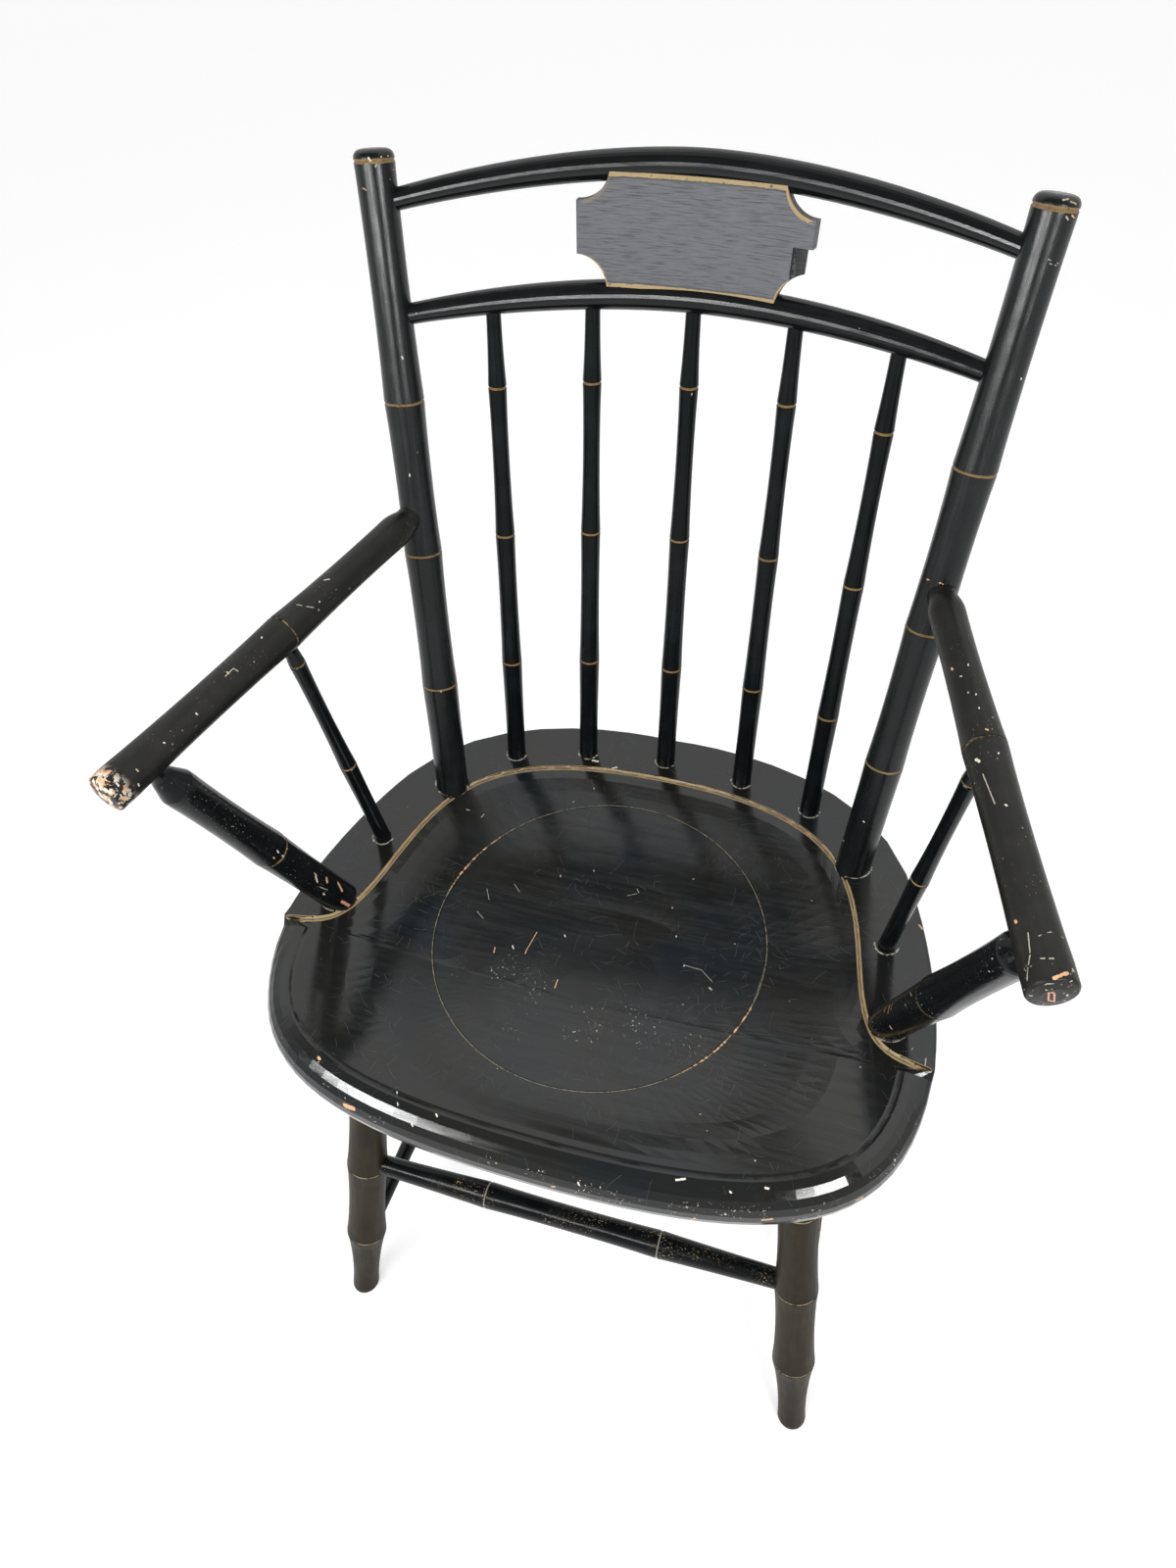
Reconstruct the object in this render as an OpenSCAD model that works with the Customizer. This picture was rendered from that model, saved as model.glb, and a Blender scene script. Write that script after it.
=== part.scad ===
// Windsor armchair with a bamboo-turned frame, a bent double-rail back and a shaped plank seat.
// Millimetres, +Z up, front towards -Y. The origin lies on the floor at the middle of the plan.

/* [Overall] */
// Height of the flat rear deck of the seat above the floor
seat_h = 411; // [395:1:440]
// Clearance around every tenon in its socket
fit_gap = 0.15; // [0.05:0.05:0.3]

/* [Seat] */
// Overall width of the seat plank
seat_w = 478; // [450:2:500]
// Distance from the widest line of the seat to its front edge
seat_front = 137; // [125:1:150]
// Distance from the widest line of the seat to its rear edge
seat_rear = 242; // [235:1:255]
// Distance of the rear corners inward from the widest edge of the seat
corner_in = 37.5; // [32:0.5:42]
// Distance of the rear corners behind the widest line of the seat
corner_back = 154; // [148:1:160]
// Distance of the scribed groove inside the rear edge
gutter_back = 43.5; // [40:0.5:47]
// Distance of the scribed groove inside the side edges beside the stiles
gutter_side = 58; // [54:1:60]
// Thickness of the seat plank at the rear deck
seat_t = 40; // [36:1:44]
// Drop from the rear deck to the dished sitting surface
deck_step = 2; // [1:0.5:3]
// Greatest depth of the dish below the sitting surface edge
dish_d = 10; // [6:1:14]
// Radius of the rolled front edge
roll_r = 20; // [16:1:21]
// Half width of the scribed groove that bounds the dish
groove_w = 1.7; // [1.2:0.1:2.2]
// Diameter of the round disc let into the seat
disc_d = 245; // [200:5:250]
// Distance of the disc centre to the left of the seat centre line
disc_off = 6; // [0:1:8]
// Depth of the rim taper of the disc from top to bottom, on the radius
disc_taper = 4; // [3:0.5:6]
// Open joint line around the disc
disc_gap = 0.3; // [0.2:0.1:0.5]

/* [Back] */
// Height of the cap ring of the stiles above the seat deck
stile_h = 419; // [395:1:440]
// Distance of each stile inward from the widest edge of the seat
stile_in = 76.6; // [73:0.2:81]
// Distance of the stiles behind the widest line of the seat
stile_back = 152.4; // [148:0.4:156]
// Outward lean of each stile from the seat to the cap ring
stile_splay = 32.9; // [23:0.1:43]
// Backward lean of the stiles from the seat to the cap ring
stile_lean = 131.3; // [115:0.1:145]
// Radius of the stile at its nodes
stile_node_r = 13.4; // [12.4:0.1:14]
// Radius of the stile at the cap ring
stile_cap_r = 12.5; // [11.4:0.1:13.2]
// Hollow between the nodes of a stile, on the radius
stile_waist = 0.9; // [0.4:0.1:1.4]
// Radius of the stile where it enters the seat
stile_foot_r = 12.8; // [11.8:0.1:13.2]
// Height of the domed end above the cap ring
stile_dome = 6.5; // [4:0.5:9]
// Height of the lowest node of the stiles above the deck
stile_node1 = 86; // [80:1:92]
// Height of the middle node of the stiles above the deck
stile_node2 = 186.5; // [181:0.5:192]
// Height of the upper node of the stiles above the deck
stile_node3 = 286; // [280:1:292]
// Distance of the top rail below the cap ring at the stiles
top_rail_drop = 22; // [18:0.5:30]
// Distance between the top rail and the middle rail at the stiles
rail_gap = 61.3; // [56:0.1:66]
// Backward bow of the top rail at its middle
top_bow = 30; // [24:1:38]
// Backward bow of the middle rail at its middle
mid_bow = 33; // [26:1:40]
// Rise of the top rail at its middle
top_crest = 22; // [16:0.5:25]
// Rise of the middle rail at its middle
mid_crest = 13.5; // [8:0.5:16]
// Radius of the top rail at its middle
top_rail_r = 8.5; // [8:0.1:9.5]
// Radius of the middle rail at its middle
mid_rail_r = 9; // [8.6:0.1:9.8]
// Radius of the rail ends at the stiles
rail_end_r = 6.4; // [5.8:0.1:7]

/* [Tablet] */
// Width of the tablet across its ears
tablet_w = 144; // [130:1:154]
// Width of the straight top and bottom edges of the tablet
tablet_top_w = 105; // [95:1:109]
// Thickness of the tablet
tablet_t = 8; // [7:0.5:9]
// Distance of the tablet face in front of the rail centre lines
tablet_face = 7.2; // [6.5:0.1:7.8]
// Height of the ears of the tablet
tablet_ear_h = 27.5; // [22:0.5:29]
// Distance of the tablet's top edge below the top rail centre line
tablet_high = 3.5; // [2:0.5:5]
// Distance of the tablet's bottom edge above the middle rail centre line
tablet_low = 5.5; // [2:0.5:6.5]
// Height of the ear centre line above the middle between the rails
ear_up = 0.5; // [-1:0.5:3]
// Tilt of the tablet, clockwise in a front view
tablet_tilt = 0.8; // [0:0.1:1.2]
// Width of the chip missing from one lower ear
chip_w = 12.5; // [8:0.5:14]
// Height of the chip missing from one lower ear
chip_h = 14; // [10:0.5:15]
// Depth of the chip below the tablet face
chip_d = 4; // [2:0.5:5]
// Width at the ear's edge over which the chip goes right through
chip_through = 5; // [3:0.5:7]

/* [Spindles] */
// Distance of the inner back spindles from the centre line at the seat
spindle_in_x = 64.2; // [58:0.2:68]
// Distance of the outer back spindles inward from the stiles at the seat
spindle_side = 40.9; // [37:0.1:48]
// Outward lean of the outer back spindles from the seat to the middle rail
spindle_splay = 6.3; // [2:0.1:10]
// Distance that the tops of the back spindles stand to the right of their even spacing
spindle_right = 1.3; // [0:0.1:2.5]
// Distance of the middle spindle behind the widest line of the seat
spindle_back = 217.6; // [210:0.2:221]
// Radius of the arc on which the back spindles stand
spindle_arc = 345; // [320:5:380]
// Radius of a back spindle at its lowest node
spindle_r = 7.7; // [7.2:0.05:8.2]
// Radius of a back spindle at its middle node
spindle_mid_r = 7; // [6.6:0.1:7.6]
// Radius of a back spindle at its upper node
spindle_up_r = 6.2; // [5.8:0.1:6.8]
// Radius of a back spindle at its top end
spindle_top_r = 4.8; // [4.3:0.1:5.2]

/* [Arms] */
// Height of the arm above the deck at the stile
arm_h = 215; // [205:1:225]
// Drop of the arm from the stile to its front end
arm_drop = 5.5; // [0:0.5:12]
// Distance of the front end of the arm outward from the widest edge of the seat
arm_out = 23.5; // [15:0.5:31]
// Distance of the front end of the arm ahead of the widest line of the seat
arm_reach = 62; // [55:1:70]
// Height by which the right arm's front end lies above their mean, and the left one's below
arm_twist = 3.5; // [0:0.5:5]
// Reach by which the left arm's front end lies ahead of their mean, and the right one's behind
arm_skew = 1; // [0:0.5:4]
// Radius of the arm at its node
arm_node_r = 12.6; // [12:0.1:13.2]
// Radius of the arm where it meets the stile
arm_back_r = 9; // [8:0.1:9.5]
// Radius of the arm at its front end
arm_front_r = 13.1; // [12.6:0.1:13.6]
// Radius of the arm post at its node
post_r = 13.9; // [13.2:0.1:14.4]
// Radius of the arm post where it enters the seat
post_foot_r = 12.5; // [11.8:0.1:12.9]
// Radius of the neck of the arm post under the arm
post_neck_r = 6.8; // [6:0.1:7.5]
// Length of the tapered top of the left arm post
taper_left = 30; // [22:1:36]
// Length of the tapered top of the right arm post
taper_right = 20; // [19:1:36]
// Distance of the arm post inward from the widest edge of the seat
post_in = 33.7; // [31:0.1:39]
// Distance of the arm post behind the widest line of the seat
post_back = 25.2; // [22:0.2:30]
// Radius of the arm spindle at its lower node
arm_spindle_r = 6.4; // [5.8:0.1:7]
// Distance of the arm spindle inward from the widest edge of the seat
arm_spindle_in = 43.5; // [40:0.5:49]
// Distance of the arm spindle behind the widest line of the seat
arm_spindle_back = 87.2; // [80:0.2:95]

/* [Legs] */
// Outward splay of each front leg from the seat to the floor
front_splay = 42; // [32:1:52]
// Distance of the front legs inward from the widest edge of the seat
front_leg_in = 77; // [71:1:89]
// Distance of the front feet ahead of the widest line of the seat
front_foot_y = 141; // [132:1:152]
// Distance of the tops of the front legs ahead of the widest line of the seat
front_leg_y = 36; // [30:1:45]
// Outward splay of each rear leg from the seat to the floor
rear_splay = 65; // [55:1:75]
// Distance of the rear legs inward from the widest edge of the seat
rear_leg_in = 110; // [104:1:120]
// Distance of the rear feet behind the widest line of the seat
rear_foot_y = 258; // [248:1:270]
// Distance of the tops of the rear legs behind the widest line of the seat
rear_leg_y = 151; // [140:1:160]
// Radius of a leg at its largest nodes
leg_r = 17.5; // [16.5:0.1:18.5]
// Radius of a leg at the foot
foot_r = 12; // [11:0.1:13]
// Radius of a leg where it enters the seat
leg_top_r = 12.5; // [11.5:0.1:13.5]
// Height of the lowest node of the legs above the floor
leg_node1 = 85; // [78:1:92]
// Height of the middle node of the legs above the floor
leg_node2 = 182; // [174:1:190]
// Height of the upper node of the legs above the floor
leg_node3 = 278; // [270:1:288]
// Height of the front and rear stretchers above the floor
cross_h = 184; // [178:1:196]
// Height of the side stretchers above the floor
side_h = 73.5; // [66:0.5:90]
// Largest radius of the front and rear stretchers
cross_r = 11; // [10:0.1:12]
// Radius of the ends of the front and rear stretchers
cross_end_r = 8.4; // [7.8:0.1:9]
// Largest radius of the side stretchers
side_r = 7.8; // [7.2:0.1:8.6]
// Radius of the ends of the side stretchers
side_end_r = 6.6; // [6:0.1:7]

/* [Hidden] */
wide_y = -55;
z_low = seat_h - seat_t;
z_sit = seat_h - deck_step;
half_w = seat_w / 2;
front_y = wide_y - seat_front;
rear_y = wide_y + seat_rear;
edge_r = 3;
socket_seat = 25;
ring_w = 1.1;
ring_d = 0.7;
seam_turn = 31;
plug_turn = 13;
through = 20;
paint = "#1d2021";
arm_paint = "#2a2420";
leg_paint = "#4b453a";
plate_paint = "#5a5d63";
$fn = 48;

// Part to show

// Geometry helpers

function lerp(a, b, t) = a + (b - a) * t;
function unit(v) = v / norm(v);
function mirror_x(p) = [-p[0], p[1], p[2]];
function flip(list) = [for (i = [len(list) - 1 : -1 : 0]) list[i]];
function bez(a, b, c, d, t) =
  a * pow(1 - t, 3) + 3 * b * pow(1 - t, 2) * t + 3 * c * (1 - t) * t * t + d * pow(t, 3);

// Stands children, built up from the origin, on the line from a to b
module along(a, b) {
  d = unit(b - a);
  translate(a)
    rotate([0, acos(d[2]), atan2(d[1], d[0])])
      children();
}

// One swelling between two nodes: radius falls by the hollow and rises again
function between(s0, r0, s1, r1, hollow) =
  [for (i = [1 : 7]) let(t = i / 8) [lerp(s0, s1, t), lerp(r0, r1, t) - hollow * pow(sin(180 * t), 0.75)]];

// The cut ring of a node
function ring_cut(s, r) = [[s - ring_w, r], [s, r - ring_d], [s + ring_w, r]];

// The round tenon below a stick's foot, with its end chamfer
function tenon(depth, r) = [[tenon_end - depth, r - 0.8], [tenon_end - depth + 0.8, r]];

// Lathe-turned stick from the outline points [distance, radius]
module lathe(pts) {
  last = len(pts) - 1;
  rotate_extrude()
    polygon([
      [0, pts[0][0]],
      each [for (p = pts) [p[1], p[0]]],
      [0, pts[last][0]]
    ]);
}

// Seat frame positions

stile_x = half_w - stile_in;
stile_base = [stile_x, wide_y + stile_back, seat_h];
stile_cap = [stile_x + stile_splay, wide_y + stile_back + stile_lean, seat_h + stile_h];
function on_stile(h) = lerp(stile_base, stile_cap, h / stile_h);
stile_len = norm(stile_cap - stile_base);

top_end = on_stile(stile_h - top_rail_drop);
mid_end = on_stile(stile_h - top_rail_drop - rail_gap);

// Radius of a rail's plan curve from its half chord and bow
function arc_r(c, s) = (c * c + s * s) / (2 * s);

// Point of a bent rail at the sideways position x
function rail_pt(e, bow, crest, x) =
  let(r = arc_r(e[0], bow))
  [x, e[1] + bow - r + sqrt(r * r - x * x), e[2] + crest * (1 - pow(abs(x) / e[0], 1.7))];

// Back spindles, counted from the left
spindle_out_x = stile_x - spindle_side;
spindle_out_top = spindle_out_x + spindle_splay;
spindle_feet = [-spindle_out_x, -spindle_in_x, 0, spindle_in_x, spindle_out_x];
spindle_heads = [-spindle_out_top, -spindle_in_x, 0, spindle_in_x, spindle_out_top];
function spindle_base(i) =
  let(x = spindle_feet[i])
  [x, wide_y + spindle_back - spindle_arc + sqrt(pow(spindle_arc, 2) - x * x), seat_h];
function spindle_top(i) = rail_pt(mid_end, mid_bow, mid_crest, spindle_heads[i] + spindle_right);

arm_a = on_stile(arm_h);

// Both arms are set out as right ones: side is 1 for the right arm and -1 for the left
function arm_b(side) =
  [half_w + arm_out, wide_y - arm_reach + side * arm_skew, seat_h + arm_h - arm_drop + side * arm_twist];
function arm_len(side) = norm(arm_b(side) - arm_a);
post_base = [half_w - post_in, wide_y + post_back, seat_h];
function post_top(side) = lerp(arm_a, arm_b(side), 0.902);
arm_sp_base = [half_w - arm_spindle_in, wide_y + arm_spindle_back, seat_h];
function arm_sp_top(side) = lerp(arm_a, arm_b(side), 0.48);

front_leg_x = half_w - front_leg_in;
rear_leg_x = half_w - rear_leg_in;
ff = [front_leg_x + front_splay, wide_y - front_foot_y, 0];
ft = [front_leg_x, wide_y - front_leg_y, z_low];
rf = [rear_leg_x + rear_splay, wide_y + rear_foot_y, 0];
rt = [rear_leg_x, wide_y + rear_leg_y, z_low];
function leg_at(foot, top, z) = lerp(foot, top, z / z_low);

// Shift in Y that centres the plan: the front feet and the top rail reach furthest
plan_shift = -(rail_pt(top_end, top_bow, top_crest, 0)[1] + top_rail_r + ff[1] - foot_r - 0.4) / 2;

// Seat plank: columns run from the outline inwards, rings run around it

// The curves' handles are shares of the half width and of the seat's reach to the rear and front
corner = [half_w - corner_in, wide_y + corner_back];
corner_dir = [-sin(26.5), cos(26.5)];
function out_rear(t) =
  bez([0, rear_y], [0.025 * half_w, rear_y], corner + 0.459 * seat_rear * corner_dir, corner, t);
function out_side(t) =
  bez(corner, corner - 0.161 * seat_rear * corner_dir, [half_w, wide_y + 0.215 * seat_rear],
    [half_w, wide_y], t);
function out_front(t) =
  bez([half_w, wide_y], [half_w, wide_y - 0.808 * seat_front], [0.668 * half_w, front_y],
    [0, front_y], t);
gut_y = rear_y - gutter_back;
gut_side = [half_w - gutter_side, wide_y + 0.248 * seat_rear];
function gut_rear(t) =
  bez([0, gut_y], [0.657 * half_w, gut_y], gut_side + [-0.06, 0.302] * seat_rear, gut_side, t);
function gut_tail(t) =
  bez(gut_side, gut_side + [0.044, -0.218] * seat_rear, [0.85 * half_w, wide_y + 0.012 * seat_rear],
    [0.992 * half_w, wide_y - 0.008 * seat_rear], t);

// Inward direction of the front outline
function front_in(t) =
  let(d = out_front(min(t + 0.002, 1)) - out_front(max(t - 0.002, 0)), n = unit([d[1], -d[0]]))
  t > 0.999 ? [0, 1] : (n[0] > 0 ? -n : n);

// Each column is [outline point, groove point, front or not]
deck_cols = [
  for (i = [0 : 9]) [out_rear(i / 10), gut_rear(0.66 * i / 10), 0],
  for (i = [0 : 5]) [out_side(0.62 * i / 6), gut_rear(0.66 + 0.34 * i / 6), 0],
  for (i = [0 : 8]) [out_side(0.62 + 0.38 * i / 8), gut_tail(i / 8), 0]
];
roll_cols = [
  for (i = [0 : 21])
    let(t = 0.02 + 0.98 * i / 21)
    [out_front(t), out_front(t) + (roll_r + groove_w) * front_in(t), 1]
];
right_cols = concat(deck_cols, roll_cols);
count_r = len(right_cols);
function mirror_col(c) = [[-c[0][0], c[0][1]], [-c[1][0], c[1][1]], c[2]];
cols = concat(right_cols, [for (i = [count_r - 2 : -1 : 1]) mirror_col(right_cols[i])]);
cn = len(cols);
mid_pt = [0, wide_y + 45];
// The rings of the sitting surface close on this point, far enough forward that no two columns cross
fan_pt = [0, wide_y - 8];

function at(o, d, s, z) = [o[0] + d[0] * s, o[1] + d[1] * s, z];

// Height of the rolled edge by its place: shallow at the widest line, full at the front
function ease(t) = t * t * (3 - 2 * t);
function roll_h(y) = roll_r * lerp(0.3, 1, ease(min(1, max(0, (wide_y - y) / 70))));

// Height of the seat at the distance s inside the outline, near the sideways row y
function roll_z(s, y) =
  s < roll_r ? z_sit - roll_h(y) * (1 - sqrt(1 - pow(1 - s / roll_r, 2))) : z_sit;

// Height of the dished surface at a plan point, one smooth bowl inside the groove
function dish_z(p) =
  let(
    u = abs(p[0]) / (0.78 * half_w),
    v = abs(p[1] - mid_pt[1]) / (p[1] > mid_pt[1] ? seat_rear - 92 : seat_front + 20),
    q = pow(pow(u, 2.4) + pow(v, 2.4), 1 / 2.4)
  )
  z_sit - 0.4 - dish_d * pow(max(0, 1 - q * q), 1.3);
dish_f = [0.04, 0.1, 0.18, 0.27, 0.37, 0.48, 0.6, 0.73, 0.87];

// All ring points of one column, from the underside up and inwards
function column(c) =
  let(
    len_g = max(norm(c[1] - c[0]), 0.01),
    d = (c[1] - c[0]) / len_g,
    o = c[0],
    k = c[2],
    w = min(groove_w, len_g * 0.3),
    e = min(edge_r, len_g * 0.3),
    rh = roll_h(o[1]),
    rl = z_sit - rh
  )
  concat(
    [for (i = [4 : -1 : 1]) let(a = i * 22.5)
      k > 0
        ? at(o, d, 13 * (1 - cos(a)), rl - (rl - z_low) * sin(a))
        : at(o, unit(mid_pt - o), 16 * (i - 1) / 3, lerp(seat_h - 20, z_low, (i - 1) / 3))],
    [for (i = [0 : 5]) let(a = i * 18, b = i * 17)
      k > 0
        ? at(o, d, roll_r * (1 - cos(b)), rl + rh * sin(b))
        : at(o, d, e * (1 - cos(a)), seat_h - e * (1 - sin(a)))],
    k > 0
      ? [at(o, d, roll_r, z_sit), at(o, d, len_g, z_sit - 0.8), at(o, d, len_g + w, z_sit - 0.4)]
      : [at(o, d, len_g - w, seat_h), at(o, d, len_g, roll_z(len_g, o[1]) - 0.8),
         at(o, d, len_g + w, min(z_sit - 0.4, roll_z(len_g + w, o[1])))],
    [for (f = dish_f)
      let(g = o + d * (len_g + w), p = lerp(g, fan_pt, f), s = half_w - abs(p[0]))
      [p[0], p[1], min(dish_z(p), roll_z(max(s, 0), p[1]))]]
  );

body_pts = [for (c = cols) each column(c)];
rn = len(column(cols[0]));
top_i = cn * rn;

// Solid plank with its dish, groove and rolled front, before any hole is made
module plank() {
  pts = concat(
    body_pts,
    [[fan_pt[0], fan_pt[1], dish_z(fan_pt)], [mid_pt[0], mid_pt[1], z_low]]
  );
  skin = [
    for (j = [0 : cn - 1]) let(n = (j + 1) % cn)
      for (k = [0 : rn - 2])
        each [
          [j * rn + k, n * rn + k, n * rn + k + 1],
          [j * rn + k, n * rn + k + 1, j * rn + k + 1]
        ]
  ];
  top = [for (j = [0 : cn - 1]) [j * rn + rn - 1, ((j + 1) % cn) * rn + rn - 1, top_i]];
  low = [for (j = [0 : cn - 1]) [((j + 1) % cn) * rn, j * rn, top_i + 1]];
  polyhedron(points = pts, faces = concat(skin, top, low), convexity = 6);
}

// Tapered plug that bounds the seat disc
module plug(grow) {
  translate([-disc_off, mid_pt[1], z_low - 2])
    rotate([0, 0, plug_turn])
      cylinder(h = seat_t + 4, r1 = disc_d / 2 - disc_taper + grow, r2 = disc_d / 2 + grow, $fn = 144);
}

// Blind socket from the point a along the line towards b, below a by the depth
module socket(a, b, r, depth, over = 8) {
  along(a, b)
    translate([0, 0, -depth])
      rotate([0, 0, seam_turn])
        cylinder(h = depth + over, r = r + fit_gap);
}

module seat_solid() {
  difference() {
    plank();
    plug(0);
    for (m = [0, 1]) mirror([m, 0, 0]) {
      socket(stile_base, stile_cap, stile_foot_r, socket_seat);
      socket(post_base, post_top(1 - 2 * m), post_foot_r, socket_seat);
      socket(arm_sp_base, arm_sp_top(1 - 2 * m), arm_sp_foot_r, socket_small);
      socket(ft, ff, leg_top_r, socket_seat);
      socket(rt, rf, leg_top_r, socket_seat);
    }
    for (i = [0 : 4])
      socket(spindle_base(i), spindle_top(i), spindle_foot_r, socket_small);
  }
}

socket_small = 20;
spindle_foot_r = spindle_r - 0.3;
arm_sp_foot_r = arm_spindle_r - 0.4;
arm_sp_top_r = arm_spindle_r - 1.6;
tenon_end = 0.6;

module disc_solid() {
  intersection() {
    plank();
    plug(-disc_gap);
  }
}

// Back

s1 = stile_node1 / stile_h * stile_len;
s2 = stile_node2 / stile_h * stile_len;
s3 = stile_node3 / stile_h * stile_len;

module stile(side) {
  difference() {
    along(stile_base, stile_cap)
      lathe(concat(
        tenon(socket_seat, stile_foot_r),
        [[2, stile_foot_r]],
        [for (i = [1 : 5]) let(t = i / 6)
          [lerp(2, s1, t), lerp(stile_foot_r, stile_node_r, t) - stile_waist * 0.3 * sin(180 * t)]],
        ring_cut(s1, stile_node_r),
        between(s1, stile_node_r, s2, stile_node_r, stile_waist),
        ring_cut(s2, stile_node_r),
        between(s2, stile_node_r, s3, stile_node_r, stile_waist),
        ring_cut(s3, stile_node_r),
        between(s3, stile_node_r, stile_len, stile_cap_r, stile_waist),
        ring_cut(stile_len, stile_cap_r),
        [for (i = [1 : 7]) let(a = i * 12)
          [stile_len + ring_w + (stile_dome - ring_w) * sin(a), stile_cap_r * pow(cos(a), 0.4)]],
        [[stile_len + stile_dome, 0.02]]
      ));
    socket_in(top_end, rail_pt(top_end, top_bow, top_crest, top_end[0] - stile_node_r), rail_end_r);
    socket_in(mid_end, rail_pt(mid_end, mid_bow, mid_crest, mid_end[0] - stile_node_r), rail_end_r);
    socket_in(arm_a, arm_b(side), arm_back_r);
  }
}

// Socket in a turned stick, from just past its centre line at a out towards b
module socket_in(a, b, r, past = 1) {
  along(a, b)
    translate([0, 0, -past])
      cylinder(h = past + 1.5 * through, r = r + fit_gap);
}

// Body of a bent rail between the stiles
module bent_bar(e, bow, crest, mid_r) {
  n = 38;
  m = 28;
  x_end = e[0] - 0.4;
  x_full = e[0] - stile_node_r - 1;
  function pt(x) = rail_pt(e, bow, crest, x);
  function rad(x) = mid_r - (mid_r - rail_end_r) * pow(min(1, abs(x) / x_full), 2.2);
  function section(x) =
    let(
      p = pt(x),
      t = unit(pt(x + 0.5) - pt(x - 0.5)),
      u = unit(cross([0, 0, 1], t)),
      v = cross(t, u)
    )
    [for (i = [0 : m - 1]) p + rad(x) * (u * cos(i * 360 / m) + v * sin(i * 360 / m))];
  pts = [for (j = [0 : n]) each section(lerp(-x_end, x_end, j / n))];
  side = [
    for (j = [0 : n - 1])
      for (i = [0 : m - 1])
        let(a = j * m + i, b = j * m + (i + 1) % m)
        each [[b, a, a + m], [b, a + m, b + m]]
  ];
  caps = [[for (i = [0 : m - 1]) i], [for (i = [m - 1 : -1 : 0]) n * m + i]];
  polyhedron(points = pts, faces = concat(side, caps), convexity = 4);
}

module top_rail_solid() {
  difference() {
    bent_bar(top_end, top_bow, top_crest, top_rail_r);
    tilted() tablet_block(tablet_top_w / 2 + fit_gap, fit_gap);
  }
}

module mid_rail_solid() {
  difference() {
    bent_bar(mid_end, mid_bow, mid_crest, mid_rail_r);
    tilted() tablet_block(tablet_top_w / 2 + fit_gap, fit_gap);
    for (i = [0 : 4])
      socket(spindle_top(i), spindle_base(i), spindle_top_r, 1, mid_rail_r + 5);
  }
}

// Tablet: a plate bent round a vertical axis and leaning back with the rails

top_mid = rail_pt(top_end, top_bow, top_crest, 0);
mid_mid = rail_pt(mid_end, mid_bow, mid_crest, 0);
bend_r = (arc_r(top_end[0], top_bow) + arc_r(mid_end[0], mid_bow)) / 2;
bend_y = (top_mid[1] + mid_mid[1]) / 2 - bend_r;
lean_dy = (top_mid[1] - mid_mid[1]) / (top_mid[2] - mid_mid[2]);
function face_y(z, off) = mid_mid[1] - bend_y + lean_dy * (z - mid_mid[2]) - off;
tab_top = top_mid[2] - tablet_high;
tab_low = mid_mid[2] + tablet_low;
ear_z = (top_mid[2] + mid_mid[2]) / 2 + ear_up;

// Tilts the tablet and its seats in the rails about the middle of the ears' centre line
module tilted() {
  translate([0, 0, ear_z])
    rotate([0, tablet_tilt, 0])
      translate([0, 0, -ear_z])
        children();
}

module tablet_block(half, grow) {
  turn = asin(half / bend_r);
  z0 = tab_low - grow;
  z1 = tab_top + grow;
  f = tablet_face + grow;
  b = tablet_face - tablet_t - grow;
  translate([0, bend_y, 0])
    rotate([0, 0, 90 - turn])
      rotate_extrude(angle = 2 * turn, $fn = 360)
        polygon([
          [face_y(z0, f), z0],
          [face_y(z0, b), z0],
          [face_y(z1, b), z1],
          [face_y(z1, f), z1]
        ]);
}

cove_r = (tablet_w - tablet_top_w) / 2;

module cove(z) {
  x = tablet_w / 2;
  turn = asin(x / bend_r);
  y = bend_y + face_y(z, 0) * cos(turn);
  tilt = atan(lean_dy);
  n = [sin(turn) * cos(tilt), cos(turn) * cos(tilt), -sin(tilt)];
  along([x, y, z] - through * n, [x, y, z] + through * n)
    cylinder(h = 2 * through, r = cove_r, $fn = 72);
}

module tablet_solid() {
  chip_x = tablet_w / 2 - chip_w;
  chip_z = ear_z - tablet_ear_h / 2;
  turn = asin(tablet_w / 2 / bend_r);
  chip_y = bend_y + face_y(chip_z, tablet_face) * cos(turn) + lean_dy * chip_h / 2;
  tall = chip_h + cove_r / 3;
  tilted()
    difference() {
      tablet_block(tablet_w / 2, 0);
      for (m = [0, 1]) mirror([m, 0, 0]) {
        cove(ear_z + tablet_ear_h / 2 + cove_r);
        cove(ear_z - tablet_ear_h / 2 - cove_r);
      }
      translate([chip_x, chip_y + chip_d, chip_z + chip_h - tall])
        rotate([-atan(lean_dy), 0, -turn]) {
          translate([0, -through, 0])
            cube([2 * chip_w, through, tall]);
          translate([chip_w - chip_through, -through, 0])
            cube([2 * chip_w, 2 * through, tall]);
        }
    }
}

// Spindles

module back_spindle(number) {
  a = spindle_base(number);
  b = spindle_top(number);
  l = norm(b - a);
  n1 = 0.252 * l;
  n2 = 0.552 * l;
  n3 = 0.849 * l;
  along(a, b)
    lathe(concat(
      tenon(socket_small, spindle_foot_r),
      [[1, spindle_foot_r]],
      [for (i = [1 : 4]) let(t = i / 5)
        [lerp(1, n1, t), lerp(spindle_foot_r, spindle_r, t) - 0.25 * sin(180 * t)]],
      ring_cut(n1, spindle_r),
      between(n1, spindle_r, n2, spindle_mid_r, 0.55),
      ring_cut(n2, spindle_mid_r),
      between(n2, spindle_mid_r, n3, spindle_up_r, 0.8),
      ring_cut(n3, spindle_up_r),
      [for (i = [1 : 4]) let(t = i / 5)
        [lerp(n3, l - 9, t), lerp(spindle_up_r, spindle_top_r, t) - 0.25 * sin(180 * t)]],
      [[l - 9, spindle_top_r], [l - 0.6, spindle_top_r], [l, spindle_top_r - 0.6]]
    ));
}

// Arms

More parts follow.
